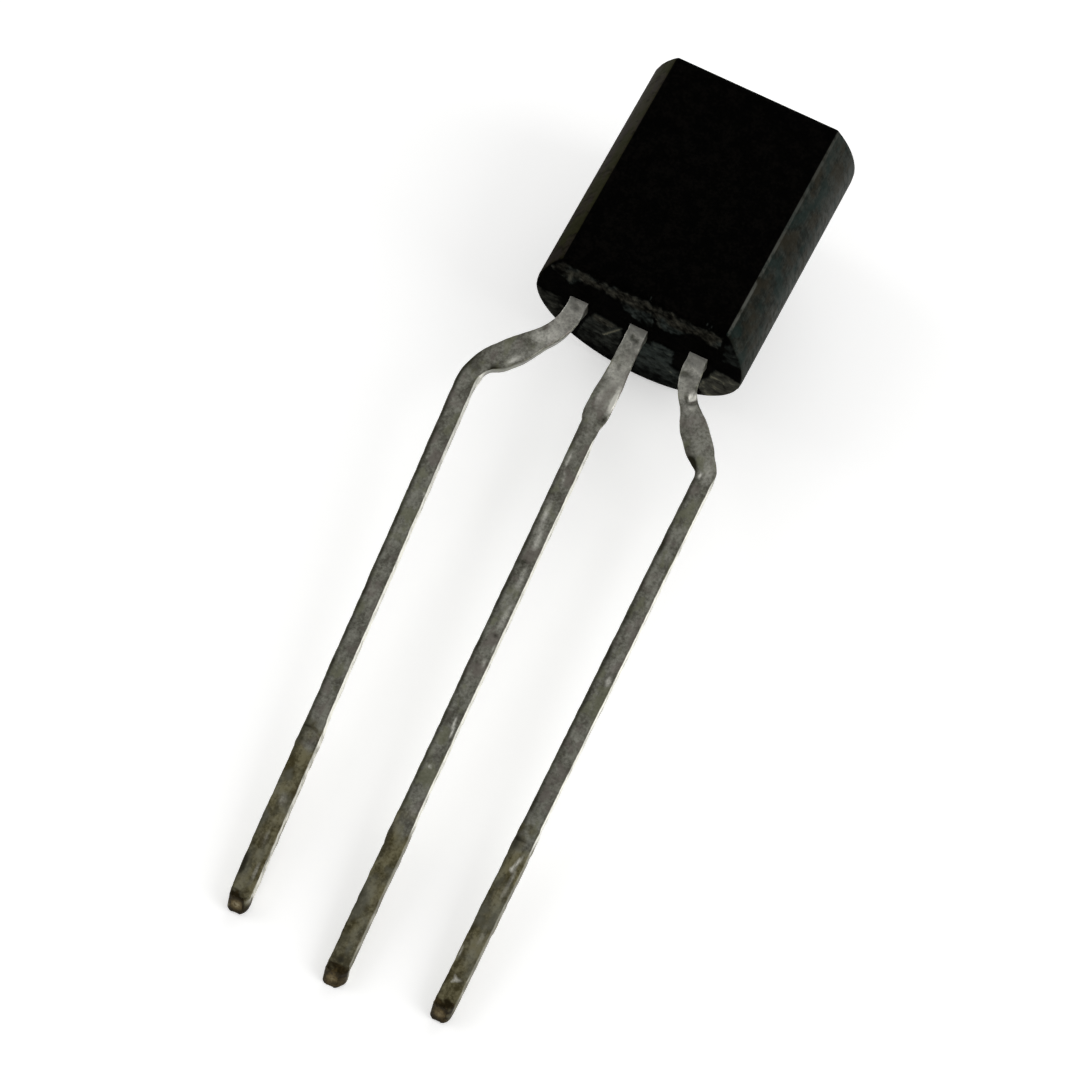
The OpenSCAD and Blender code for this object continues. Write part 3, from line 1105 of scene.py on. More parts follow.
@dataclass(frozen=True)
class FormedLead:
    """One lead: the part inside the case, and the formed and cut part outside it.

    Lengths are in millimetres and angles in degrees. A run is where something comes or goes along
    the lead, from the exit, the end of the stub or, for the tip, back from it. Each row of the tones
    near the exit holds the distances between which a paler tone fades out, and that tone: painted
    light near the exit, where the case shades the lead.
    """

    form: LeadForm
    sizes: PackageSizes
    blemishes_and_light: tuple[BlemishAndLight, ...]
    seed: float
    residue_start: float
    residue_lag: float = 0.0
    edge_radius: float = 0.018
    ring_step: float = 0.04
    cells_across: int = 10
    cells_deep: int = 7
    corner_cells: int = 3
    join: float = 0.1
    tip_slant: float = 26.0
    tip_radius: float = 0.06
    tip_turns: tuple[int, ...] = (30, 50, 70, 90)
    tip_rounding: float = 0.035
    tip_zone: float = 0.5
    tip_cell: float = 0.045
    wander: float = 0.007
    roughness: float = 0.006
    residue_rise: float = 0.012
    residue_edge: tuple[float, float] = (0.40, 0.15)
    residue_span: float = 0.03
    bare_run: float = 0.12
    rounding_run: tuple[float, float] = (-0.05, 0.05)
    tip_run: tuple[float, float] = (0.30, 0.05)
    rolled_run: tuple[float, float] = (0.02, 0.2)
    rolled_fade: float = 0.35
    ease_run: float = 0.4
    lean_turns: tuple[float, float] = (10.0, 30.0)
    lean_run: float = 0.3
    lean_fade: tuple[float, float] = (0.1, 0.5)
    straight_run: tuple[float, float] = (0.1, 0.4)
    corner_run: tuple[float, float] = (0.3, 1.2)
    shade_run: tuple[float, float] = (0.5, 2.6)
    tip_margin: float = 0.02
    tip_inset: float = 0.014
    tip_dent: float = 0.010
    tip_band_run: float = 0.26
    tip_band_shade: float = 0.5
    rim_cut: float = 0.4
    exit_light_tones: tuple[tuple[float, float, float], ...] = (
        (0.9, 1.5, 0.26),
        (1.6, 2.5, 0.24),
        (0.05, 0.55, 0.50),
    )
    # These tones paint shade on the left corners and across the front, shade and light on the right corners,
    # and a sheen on the sides.
    left_corner_tone: float = 0.65
    left_back_tone: float = 0.6
    right_corner_tone: float = 0.5
    rolled_tone: float = 1.4
    front_shade: float = 0.68
    blank_side_tone: float = 0.6
    side_tone: float = 0.85
    side_residue: float = 0.5
    side_sheen_change: float = 3.2
    right_ease: float = 0.018
    rolled_edge: float = 0.03
    punch_lean: float = 0.10
    punch_swell: float = 0.05
    core: float = 1.0

    @property
    def half_depth(self) -> float:
        """Half the strip's thickness."""
        return self.sizes.strip_thickness / 2

    def _section(self) -> list[SectionPoint]:
        """Returns the section's points for a half width and a half depth of 1, once round."""
        points = []
        order = (Side.FRONT, Side.RIGHT, Side.BACK, Side.LEFT)
        for number, side in enumerate(order):
            normal = Vector(side.value)
            along = Vector((normal.y, -normal.x))
            cells = self.cells_across if side in (Side.FRONT, Side.BACK) else self.cells_deep
            for step in range(1, cells):
                place = normal + along * (2.0 * step / cells - 1.0)
                points.append(SectionPoint(place.x, place.y, tuple(normal), False))
            following = Vector(order[(number + 1) % len(order)].value)
            corner = normal + following
            for step in range(self.corner_cells + 1):
                turn = math.pi / 2 * step / self.corner_cells
                bent = normal * math.cos(turn) + following * math.sin(turn)
                points.append(SectionPoint(corner.x, corner.y, tuple(bent), True))
        return points

    def _stations(self) -> list[float]:
        """Returns the distances from the exit at which the lead has a ring of points."""
        length = self.form.length
        count = round((length - self.tip_radius + self.join) / self.ring_step)
        body = spread(-self.join + self.ring_step, length - self.tip_radius, count)
        steps = [math.sin(math.radians(turn)) for turn in self.tip_turns]
        return body + [length - self.tip_radius * (1.0 - step) for step in steps]

    def _edge_shift(self, distance: float, hand: float, bare: float) -> float:
        """Returns how far one long edge wanders outwards.

        Args:
            distance: The distance along the lead.
            hand: 1 for the right edge and -1 for the left.
            bare: How much of the wear shows there, from 0 to 1.

        Returns:
            The shift, negative inwards.
        """
        end, where = self.form.stub_end, Vector((distance, 3.0 * hand, self.seed))
        shift = self.wander * (grain(where, 0.9, 2) + 0.5 * grain(where, 0.17, 2))
        dents = [mark for mark in self.blemishes_and_light if mark.side.value[0] == hand]
        shift += sum(mark.rise * mark.share(distance, 0.0) for mark in dents)
        shift += self.right_ease * (hand > 0) * smoothstep(end, end + self.ease_run, distance)
        start, span = self.residue_start, self.residue_span
        crust = smoothstep(start - span, start + span, distance + 0.3 * hand)
        return bare * (shift - 0.3 * self.wander + hand * self.residue_rise * crust)

    def _lean(self, distance: float, hand: float) -> float:
        """Returns how much narrower one half is at the back than in front, from the punch.

        Args:
            distance: The distance along the lead.
            hand: 1 for the right half and -1 for the left.

        Returns:
            The difference in width.
        """
        start, end = (self.form.stub_end + after for after in self.lean_fade)
        turned = smoothstep(*self.lean_turns, math.degrees(self.form.heading(distance)))
        share = turned if hand < 0 else 1.0 - turned
        formed = 1.0 - smoothstep(start, end, distance)
        return self.punch_lean * share * formed * smoothstep(0.0, self.lean_run, distance)

    def _crust(self, distance: float, across: float, deep: float) -> float:
        """Returns how much residue covers a point.

        Args:
            distance: The point's distance along the lead.
            across: Its place across the lead.
            deep: Its place through the lead's thickness.

        Returns:
            The cover, from 0 to 1.
        """
        where = Vector((distance, across, deep + self.seed))
        ragged = distance - self.residue_lag + 0.6 * grain(where, 0.35, 4) + 0.5 * across
        before, after = self.residue_edge
        return smoothstep(self.residue_start - before, self.residue_start + after, ragged)

    def _station(self, distance: float) -> Station:
        """Returns what the points of one ring share.

        Args:
            distance: The ring's distance along the lead.

        Returns:
            The ring's widths, edges and wear.
        """
        form, length, hands = self.form, self.form.length, (-1.0, 1.0)
        bare = smoothstep(0.0, self.bare_run, distance)
        bare *= 1.0 - smoothstep(length - self.bare_run, length - self.tip_margin, distance)
        stubs = ((form.stub_left, form.left_tail), (form.stub_right, form.right_tail))
        halves = {
            hand: form.half_width(distance, *stub) + self._edge_shift(distance, hand, bare)
            for hand, stub in zip(hands, stubs)
        }
        lean = {hand: self._lean(distance, hand) for hand in hands}
        halves[1.0] += lean[1.0] * self.punch_swell / self.punch_lean
        gap = min(length - distance, self.tip_radius)
        pinch = self.tip_radius - math.sqrt(self.tip_radius**2 - (self.tip_radius - gap) ** 2)
        halves = {hand: half - pinch for hand, half in halves.items()}
        rounding = self.edge_radius * smoothstep(*self.rounding_run, distance)
        rounding += self.tip_rounding * smoothstep(*(length - before for before in self.tip_run), distance)
        rolled = self.rolled_edge * smoothstep(*self.rolled_run, distance)
        rolled *= 1.0 - smoothstep(form.stub_end, form.stub_end + self.rolled_fade, distance)
        slant = smoothstep(length - self.tip_zone, length, distance)
        return Station(bare, halves, lean, rounding, rolled, slant)

    def _placed(self, spot: SectionPoint, here: Station) -> tuple[float, float]:
        """Returns where a point of the section is before it is worn.

        Args:
            spot: The point of the section.
            here: What its ring shares.

        Returns:
            Its places across the lead and through its thickness.
        """
        half = here.halves[spot.hand]
        across, deep = spot.across * half, spot.deep * self.half_depth
        if spot.corner:
            rounding = here.rounding + (here.rolled if min(spot.across, spot.deep) > 0 else 0.0)
            across += rounding * (spot.normal[0] - spot.across)
            deep += rounding * (spot.normal[1] - spot.deep)
        elif spot.deep == 1.0 and spot.across > 0:
            across *= 1.0 - here.rolled / half
        elif spot.across == 1.0 and spot.deep > 0:
            deep *= 1.0 - here.rolled / self.half_depth
        back_share = (self.half_depth - deep) / self.sizes.strip_thickness
        return across - spot.across * here.lean[spot.hand] * back_share, deep

    def _ring(self, distance: float, section: Sequence[SectionPoint]) -> list[RingPoint]:
        """Returns the points of one ring, with what the finish reads at each.

        Args:
            distance: The ring's distance along the lead.
            section: The points of the section.

        Returns:
            The place and the facts of each point.
        """
        here, heading = self._station(distance), self.form.heading(distance)
        aside = Vector((math.cos(heading), math.sin(heading), 0.0))
        ahead = Vector((math.sin(heading), -math.cos(heading), 0.0))
        outwards = Vector((0.0, 0.0, 1.0))
        slope = math.tan(math.radians(self.tip_slant))
        ring = []
        for spot in section:
            across, deep = self._placed(spot, here)
            crust = self._crust(distance, across, deep)
            rise, tone = self._marks(distance, across, deep, spot)
            place = Vector((distance, across, deep + self.seed))
            rise += self.roughness * (0.9 * grain(place, 0.30, 3) + 0.5 * grain(place, 0.09, 2) - 0.6)
            rise += self.residue_rise * crust * (0.6 + 0.6 * grain(place, 0.2, 2))
            rise = here.bare * (min(rise, 0.0) if spot.normal[1] < -0.5 else rise)
            across += spot.normal[0] * rise
            deep += spot.normal[1] * rise
            back = here.slant * (deep + self.half_depth) * slope
            point = self.form.point(distance) + across * aside + deep * outwards - back * ahead
            patchy = grain(place, 0.22, 3)
            tip_band = self._tip_band(distance, patchy)
            tone += self._shade(distance, spot, crust, patchy)
            # the dark band at the tip: painted shade, and bare copper from the cut
            tone = tone * (1.0 - tip_band) - self.tip_band_shade * tip_band
            ring.append((point, {"tone": tone, "crust": crust, "cut": self.rim_cut * tip_band}))
        return ring

    def _marks(self, distance: float, across: float, deep: float, spot: SectionPoint) -> tuple[float, float]:
        """Returns what the blemishes and the painted highlights and shade do at a point.

        Args:
            distance: The point's distance along the lead.
            across: Its place across the lead.
            deep: Its place through the lead's thickness.
            spot: Its place in the section.

        Returns:
            Its rise and its tone.
        """
        rise = tone = 0.0
        for mark in self.blemishes_and_light:
            facing = max(0.0, mark.side.value[0] * spot.normal[0] + mark.side.value[1] * spot.normal[1])
            place = across if mark.side in (Side.FRONT, Side.BACK) else deep
            share = facing * mark.share(distance, place)
            rise += mark.rise * share * abs(mark.side.value[1])
            tone += mark.tone * share
        return rise, tone

    def _shade(self, distance: float, spot: SectionPoint, crust: float, patchy: float) -> float:
        """Returns the tone of a point's place, which paints light and shade: painted light near the exit,
        painted shade along the left edges, painted shade and light on the right corners, and a painted
        sheen on the sheared sides.

        Args:
            distance: The point's distance along the lead.
            spot: Its place in the section.
            crust: How much residue covers it.
            patchy: Noise of about -1 to 1 that breaks the tone up.

        Returns:
            The tone.
        """
        # painted light near the exit, where the case shades the lead
        tone = sum(pale * (1.0 - smoothstep(low, high, distance)) for low, high, pale in self.exit_light_tones)
        start, end = (self.form.stub_end + after for after in self.straight_run)
        straight = smoothstep(start, end, distance + 0.3 * min(spot.across, 0.0))
        formed = 0.35 * tone - 0.30
        # painted shade on the front left edge
        if spot.corner and spot.across < 0 < spot.deep:
            tone -= self.left_corner_tone * smoothstep(*self.corner_run, distance)
        # painted shade on the back left edge where the lead is formed
        elif spot.corner and spot.across < 0:
            tone -= self.left_back_tone * (1.0 - straight)
        # painted shade on the front right corner, which dims its highlight
        elif spot.corner and spot.deep > 0:
            tone -= (
                self.right_corner_tone * straight * spot.normal[1]
                + self.rolled_tone * (1.0 - straight) * spot.normal[0] * spot.normal[1]
            )
        # painted light on the back right corner where the lead runs straight, painted shade where it is
        # formed
        elif spot.corner:
            tone += self.rolled_tone * straight - self.right_corner_tone
        # painted shade across the left part of the front
        elif spot.deep > 0:
            shaded = smoothstep(-0.35 + 0.5 * crust, -0.85, spot.across)
            shaded *= smoothstep(*self.shade_run, distance)
            tone -= (self.front_shade - 0.20 * crust) * shaded * (1.0 + 0.4 * patchy)
        # painted sheen on the sides, less where residue covers them
        if abs(spot.normal[0]) > 0.9:
            bright = smoothstep(self.side_sheen_change - 0.1, self.side_sheen_change + 0.1, distance + 0.1 * patchy)
            side_sheen = self.blank_side_tone + (self.side_tone - self.blank_side_tone) * bright
            side_sheen *= 1.0 + 0.6 * patchy
            tone = (side_sheen * (1.0 - self.side_residue * crust) - formed) * straight + formed
        return tone

    def _tip_band(self, distance: float, patchy: float) -> float:
        """Returns how much of the dark band at the tip a point has, from 0 to 1: brown from the shear cut,
        darkened as painted shade.
        """
        length = self.form.length
        return smoothstep(length - self.tip_band_run, length - self.tip_margin, distance + 0.30 * patchy)

    def build(self, node: bpy.types.Object, pose: LyingPose) -> bmesh.types.BMesh:
        """Builds the lead's mesh in the package's frame.

        Args:
            node: The lead's solid, whose part inside the case is kept.
            pose: How the package lies.

        Returns:
            The closed mesh.
        """
        mesh = merged_copy(node, pose)
        parts = mesh.verts[:] + mesh.edges[:] + mesh.faces[:]
        above = {"plane_co": Vector((0.0, self.join, 0.0)), "plane_no": Vector((0.0, 1.0, 0.0))}
        bmesh.ops.bisect_plane(mesh, geom=parts, dist=MERGE_DISTANCE, clear_inner=True, **above)
        layers = {key: mesh.verts.layers.float.new(key) for key in ("tone", "crust", "cut")}
        on_cut = mesh.faces.layers.int.new("on_cut")
        inner_rim = [edge for edge in mesh.edges if edge.is_boundary]
        section = self._section()
        rings = [self._ring(distance, section) for distance in self._stations()]
        verts = sweep(mesh, [[point for point, _ in ring] for ring in rings])
        for ring, row in zip(rings, verts):
            for (_, facts), vert in zip(ring, row):
                for key, fact in facts.items():
                    vert[layers[key]] = fact
        outer_rim = [edge for edge in mesh.edges if edge.is_boundary and set(edge.verts) <= set(verts[0])]
        bmesh.ops.bridge_loops(mesh, edges=inner_rim + outer_rim)
        tip_rim = [edge for edge in mesh.edges if edge.is_boundary]
        cap = bmesh.ops.contextual_create(mesh, geom=tip_rim)["faces"]
        self._dress_tip(mesh, cap, on_cut, layers)
        bmesh.ops.remove_doubles(mesh, verts=mesh.verts, dist=MERGE_DISTANCE)
        bmesh.ops.recalc_face_normals(mesh, faces=mesh.faces[:])
        return mesh

    def _dress_tip(
        self,
        mesh: bmesh.types.BMesh,
        cap: list[bmesh.types.BMFace],
        on_cut: bmesh.types.BMLayerItem,
        layers: dict[str, bmesh.types.BMLayerItem],
    ) -> None:
        """Divides the cut face at the tip and gives it the dents of a shear cut.

        Args:
            mesh: The lead's mesh.
            cap: The one face that closes its tip.
            on_cut: The layer that marks the faces of the cut.
            layers: The layers that the finish reads.
        """
        for vert in cap[0].verts:
            vert[layers["cut"]] = self.rim_cut
        bmesh.ops.inset_region(mesh, faces=cap, thickness=self.tip_inset, depth=0.0)
        cap[0].normal_update()
        normal, middle = cap[0].normal.copy(), cap[0].calc_center_median()
        cap[0][on_cut] = 1
        reach = self.half_depth
        for axis in (0, 2):
            places = spread(middle[axis] - reach, middle[axis] + reach, round(2 * reach / self.tip_cell))
            cut_faces(mesh, lambda face: face[on_cut] == 1, axis, places)
        for vert in {vert for face in mesh.faces if face[on_cut] == 1 for vert in face.verts}:
            # core brings the copper, and its painted glint, to the middle of the cut face
            core = self.core * (1.0 - smoothstep(0.0, reach, (vert.co - middle).length))
            vert[layers["cut"]] = self.rim_cut + (1.0 - self.rim_cut) * core
            dent = self.tip_dent * (grain(vert.co + Vector((self.seed, 0.0, 0.0)), 0.15, 3) - 0.6)
            vert.co += normal * dent

    def make(self, node: bpy.types.Object, pose: LyingPose, material: bpy.types.Material) -> bpy.types.Object:
        """Builds and dresses the lead and puts it in place of its solid.

        Args:
            node: The lead's solid.
            pose: How the package lies.
            material: The plating's finish.

        Returns:
            The piece.
        """
        piece = finish_piece(self.build(node, pose), f"formed_{self.form.name}_lead", pose, material)
        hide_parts(f"{self.form.name}_lead")
        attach(piece, "root")
        return piece


# ---------------------------------------------------------------- case


class Zone(Enum):
    """The case's surfaces."""

    HOLLOW = 0
    LOWER_END = 1
    FLAT = 2
    ROUND_SIDE = 3
    UPPER_END = 4
    EDGE = 5


WearAndLight = tuple[float, float, float]


@dataclass(frozen=True)
class LitFlake:
    """A pale patch on the lower end, in millimetres: painted light on that part of the end face, with
    the rough relief of broken moulding flash.

    Its outline bulges everywhere and runs anticlockwise, with Z upwards.
    """

    outline: tuple[tuple[float, float], ...]
    rise: float
    pale: float
    warm: float
    # fade dims the painted light towards the round back
    fade: float = 0.0

    def inside(self, x: float, z: float) -> float:
        """Returns how far a point is inside the outline.

        Args:
            x: The point's place across the package.
            z: Its place out of the flat.

        Returns:
            The distance to the nearest edge, negative outside.
        """
        depth = math.inf
        for (ax, az), (bx, bz) in zip(self.outline, self.outline[1:] + self.outline[:1]):
            length = math.hypot(bx - ax, bz - az)
            depth = min(depth, ((bx - ax) * (z - az) - (bz - az) * (x - ax)) / length)
        return depth


@dataclass(frozen=True)
class ScratchAndGlint:
    """A fine scratch or a painted highlight streak from one point of the case to another, in millimetres."""

    start: tuple[float, float, float]
    end: tuple[float, float, float]
    width: float = 0.015
    depth: float = 0.008
    pale: float = 0.8
    warm: float = 0.0

    def share(self, point: Vector) -> float:
        """Returns how much of it there is at a point.

        Args:
            point: The point in the package's frame.

        Returns:
            The share, from 0 to 1.
        """
        start, way = Vector(self.start), Vector(self.end) - Vector(self.start)
        along = clamp((point - start).dot(way) / way.length_squared)
        return math.exp(-(((point - start - along * way).length / self.width) ** 2))


@dataclass(frozen=True)
class MouldedCase:
    """The moulded case, its rounded edges, its chewed lower edge and its broken flash.

    The pale of its chewed edge carries a painted highlight, the pale patches on its lower end are
    painted light with the broken flash's relief, and the dark halos round the leads are painted shadow.

    Lengths are in millimetres. The facings are how straight a face has to look out of a surface
    to belong to it, and edge_reach is how far the edges reach in from the ends, the flat and the
    sides. The lines are where extra cuts run beside the flat's long edges.
    """

    sizes: PackageSizes
    pose: LyingPose
    long_edge_radius: float = 0.035
    top_radius: float = 0.13
    bottom_radius: float = 0.05
    fine_cell: float = 0.032
    coarse_cell: float = 0.25
    fine_height: float = 0.36
    slack: float = 0.001
    surface_slack: float = 0.01
    round_facing: float = 0.98
    flat_facing: float = 0.999
    end_facing: float = 0.99
    edge_reach: tuple[float, float, float] = (0.3, 0.2, 0.15)
    flat_lines: tuple[float, float] = (0.015, 0.04)
    side_lines: tuple[float, float] = (0.012, 0.03)
    worn_and_lit_heights: tuple[float, float] = (0.16, 0.30)
    rough_relief: float = 0.014
    fine_relief: float = 0.006
    strip_relief: float = 0.008
    lead_groove: float = 0.016
    groove_width: float = 0.12
    lead_shadow_rim: float = 0.14
    bottom_change: tuple[float, float] = (0.9, 1.25)
    inner_band: tuple[float, float] = (0.16, 0.03)
    lit_flake_edge: float = 0.018
    lit_flake_fade: tuple[float, float] = (-0.95, -1.75)
    chewed_edge: tuple[float, float] = (0.06, 0.08)
    chewed_heights: tuple[float, float] = (0.05, 0.11)
    chewed_and_lit_pale: tuple[float, float] = (0.12, 0.9)
    warm_span: tuple[float, float] = (0.85, 1.20)
    palest: float = 1.5
    # Pale patches of painted light with broken flash's relief; the third is a painted highlight along the top
    # of the second.
    lit_flakes: tuple[LitFlake, ...] = (
        LitFlake(((-2.3, 0.02), (-2.15, -1.2), (-1.70, -1.2), (-1.60, -0.35), (-1.66, 0.0)),
              0.020, 0.54, 0.7, 0.3),
        LitFlake(((-1.5, -2.3), (-0.4, -2.3), (-0.33, -0.3), (-0.42, -0.04), (-0.93, 0.02), (-1.15, -0.6)),
              0.030, 0.62, 0.4, 0.65),
        # painted highlight along the top of the patch above
        LitFlake(((-0.97, -0.15), (-0.85, -0.32), (-0.55, -0.28), (-0.45, -0.06), (-0.90, 0.0)),
              0.032, 1.0, 0.9),
        LitFlake(((0.02, -0.5), (0.0, -1.2), (0.79, -1.2), (0.79, -0.02), (0.42, 0.0), (0.15, -0.22)),
              0.035, 0.85, 0.0),
        LitFlake(((-0.05, -0.86), (-0.05, -2.4), (0.97, -2.4), (0.97, -0.86)), 0.035, 0.85, 0.1, 0.60),
        LitFlake(((1.36, -1.0), (1.36, -2.0), (2.2, -1.2), (2.3, -0.2), (1.9, -0.05), (1.66, -0.02)),
              0.025, 1.0, 0.75),
        LitFlake(((1.78, 0.42), (2.15, 0.45), (2.05, 0.9), (1.85, 1.15), (1.76, 1.1)), 0.006, 0.38, 0.1),
    )
    scratches_and_glints: tuple[ScratchAndGlint, ...] = (
        ScratchAndGlint((0.13, 0.18, 1.36), (0.15, 0.02, 1.30), pale=0.5),
        ScratchAndGlint((0.15, 0.02, 1.30), (0.24, 0.06, 0.45), pale=0.7),
        ScratchAndGlint((0.33, 0.10, 1.36), (0.29, 0.02, 1.25)),
        ScratchAndGlint((1.34, 0.26, 1.36), (1.27, 0.03, 1.34), pale=0.6),
        ScratchAndGlint((1.42, 0.18, 1.36), (1.34, 0.03, 1.30), pale=0.5),
        ScratchAndGlint((-1.47, 0.01, 1.15), (-1.52, 0.04, 0.75), 0.05, 0.004, 1.2, 1.0),
        # painted highlight: a bright streak across the lower end, raised a little
        ScratchAndGlint((-0.38, 0.01, -0.18), (-0.72, 0.06, -0.82), 0.045, -0.006, 1.5, 0.8),
    )
    strip_foot: tuple[tuple[float, float], ...] = (
        (-1.95, 1.05), (-1.80, 0.75), (-1.50, 0.64), (-1.25, 0.85), (-0.80, 0.90), (-0.40, 0.70),
        (-0.10, 0.48), (0.10, 0.34), (0.26, 0.42), (0.31, 1.00), (0.36, 0.62), (0.50, 0.50),
        (0.80, 0.60), (0.95, 0.80), (1.10, 0.92), (1.45, 0.74), (1.66, 0.80), (1.74, 1.36),
    )

    def _zone(self, face: bmesh.types.BMFace) -> Zone:
        """Says which surface of the case a face is on.

        Args:
            face: The face.

        Returns:
            Its surface.
        """
        s, normal, centre = self.sizes, face.normal, face.calc_center_median()
        radial = Vector((centre.x, 0.0, centre.z))
        on_round = abs(radial.length - s.radius) < self.surface_slack
        if on_round and normal.dot(radial.normalized()) > self.round_facing:
            return Zone.ROUND_SIDE
        if normal.z > self.flat_facing and centre.z > s.flat_depth - self.slack:
            return Zone.FLAT
        if normal.y < -self.end_facing and centre.y < s.back_inset + self.surface_slack:
            return Zone.LOWER_END
        if normal.y > self.end_facing and centre.y > s.case_height - s.back_inset - self.surface_slack:
            return Zone.UPPER_END
        end, front, side = self.edge_reach
        near_end = abs(centre.y - s.case_height / 2) - s.case_height / 2 + end
        near_front = centre.z - s.flat_depth + front
        near_rim = near_front > 0 or radial.length > s.radius - side
        return Zone.EDGE if near_rim and max(near_end, near_front) > 0 else Zone.HOLLOW

    def _depth(self, point: Vector) -> float:
        """Returns how far a point stands out of the moulding with its rounded edges.

        Args:
            point: The point in the package's frame.

        Returns:
            The distance, negative inside.
        """
        s = self.sizes
        draft = math.tan(math.radians(s.flat_draft if point.z > 0 else s.round_draft))
        below = abs(point.z) * draft - point.y
        above = point.y - s.case_height + abs(point.z) * draft
        out_of_round = math.hypot(point.x, point.z) - s.radius
        around = rounded_edge(point.z - s.flat_depth, out_of_round, self.long_edge_radius)
        larger = (s.flat_edge_radius - self.bottom_radius) * smoothstep(*self.bottom_change, point.z)
        lower = rounded_edge(around, below, self.bottom_radius + larger)
        return max(lower, rounded_edge(around, above, self.top_radius))

    def _settled(self, point: Vector, step: float = 1e-3, rounds: int = 3) -> Vector:
        """Moves a point of the sharp outline onto the moulding with its rounded edges.

        Args:
            point: The point in the package's frame.
            step: How far ahead the slope is read.
            rounds: How many times the point is moved.

        Returns:
            The moved point.
        """
        place = point.copy()
        for _ in range(rounds):
            depth = self._depth(place)
            slope = Vector([(self._depth(place + axis * step) - depth) / step for axis in Matrix.Identity(3)])
            place -= slope * (depth / slope.length_squared)
        return place

    @staticmethod
    def _within(
        layer: bmesh.types.BMLayerItem, zones: Iterable[Zone], low: float = -math.inf, high: float = math.inf
    ) -> FaceTest:
        """Returns a test for the faces of some zones.

        Args:
            layer: The layer that holds each face's zone.
            zones: The zones.
            low: The height above which the whole face has to be.
            high: The height below which the whole face has to be.

        Returns:
            The test.
        """
        wanted = {zone.value for zone in zones}
        return lambda face: face[layer] in wanted and all(low < vert.co.y < high for vert in face.verts)

    def _divide(self, mesh: bmesh.types.BMesh) -> None:
        """Cuts the surfaces into cells, fine ones where they are worn.

        Args:
            mesh: The case's mesh.
        """
        s, fine, coarse = self.sizes, self.fine_cell, self.coarse_cell
        layer = mesh.faces.layers.int.new("zone")
        for face in mesh.faces:
            face[layer] = self._zone(face).value
        bottom, top = self.fine_height, s.case_height - self.fine_height
        half_flat = math.sqrt(s.radius**2 - s.flat_depth**2)
        around = self._within(layer, (Zone.FLAT, Zone.ROUND_SIDE, Zone.EDGE))
        long_edges = self._within(layer, (Zone.FLAT, Zone.EDGE))
        round_side = self._within(layer, (Zone.ROUND_SIDE,))
        low_sides = self._within(layer, (Zone.FLAT, Zone.ROUND_SIDE), high=bottom + self.slack)
        low_front = self._within(layer, (Zone.FLAT, Zone.EDGE), high=bottom + self.slack)
        high_sides = self._within(layer, (Zone.FLAT, Zone.ROUND_SIDE), low=top - self.slack)
        upwards = self._within(layer, (Zone.FLAT, Zone.EDGE, Zone.UPPER_END))
        upper_end, lower_end = (self._within(layer, (zone,)) for zone in (Zone.UPPER_END, Zone.LOWER_END))
        cut_faces(mesh, around, 1, [bottom, top])
        cut_faces(mesh, around, 1, inner_rows(bottom, top, coarse))
        cut_faces(mesh, long_edges, 0, [side * (half_flat - t) for side in (-1, 1) for t in self.flat_lines])
        cut_faces(mesh, round_side, 2, [s.flat_depth - t for t in self.side_lines])
        cut_faces(mesh, low_sides, 1, inner_rows(0.0, bottom, fine))
        cut_faces(mesh, low_front, 0, inner_rows(-s.radius, s.radius, fine))
        cut_faces(mesh, high_sides, 1, inner_rows(top, s.case_height, fine))
        cut_faces(mesh, upwards, 0, inner_rows(-s.radius, s.radius, 2 * fine))
        cut_faces(mesh, upper_end, 2, inner_rows(-s.radius, s.flat_depth, 2 * fine))
        cut_faces(mesh, lower_end, 0, inner_rows(-s.radius, s.radius, fine))
        cut_faces(mesh, lower_end, 2, inner_rows(-s.radius, s.flat_depth, fine))

    def _foot(self, x: float) -> float:
        """Returns how low the worn strip under the flat reaches.

        Args:
            x: The place across the case.

        Returns:
            Its lowest Z there.
        """
        for (before, high), (after, low) in zip(self.strip_foot, self.strip_foot[1:]):
            if before < x <= after:
                return high + (low - high) * (x - before) / (after - before)
        return self.sizes.case_width

    def _flaked_and_lit(self, point: Vector, ragged: float, rough: float) -> WearAndLight:
        """Returns what the pale patches do at a point of the lower end: painted light, with the relief of
        broken flash.

        Args:
            point: The point in the package's frame.
            ragged: How far the noise shifts the edges there.
            rough: Noise of about -1 to 1.

        Returns:
            Its rise, how pale it is and how warm.
        """
        rise = pale = warm = 0.0
        radius, fine = self.sizes.radius, grain(point, 0.07, 2)
        start, end = (radius - inset for inset in self.inner_band)
        inner = 1.0 - smoothstep(start, end, math.hypot(point.x, point.z))
        for lit_flake in self.lit_flakes:
            inside = lit_flake.inside(point.x, point.z) + 0.6 * ragged
            share = smoothstep(-self.lit_flake_edge, self.lit_flake_edge, inside)
            fade = 1.0 - lit_flake.fade * smoothstep(*self.lit_flake_fade, point.z)
            height = lit_flake.rise + self.rough_relief * rough + self.fine_relief * fine
            rise = max(rise, share * inner * height)
            pale = max(pale, share * fade * lit_flake.pale * (0.84 + 0.7 * rough))
            warm = max(warm, share * lit_flake.warm)
        return rise, pale, warm

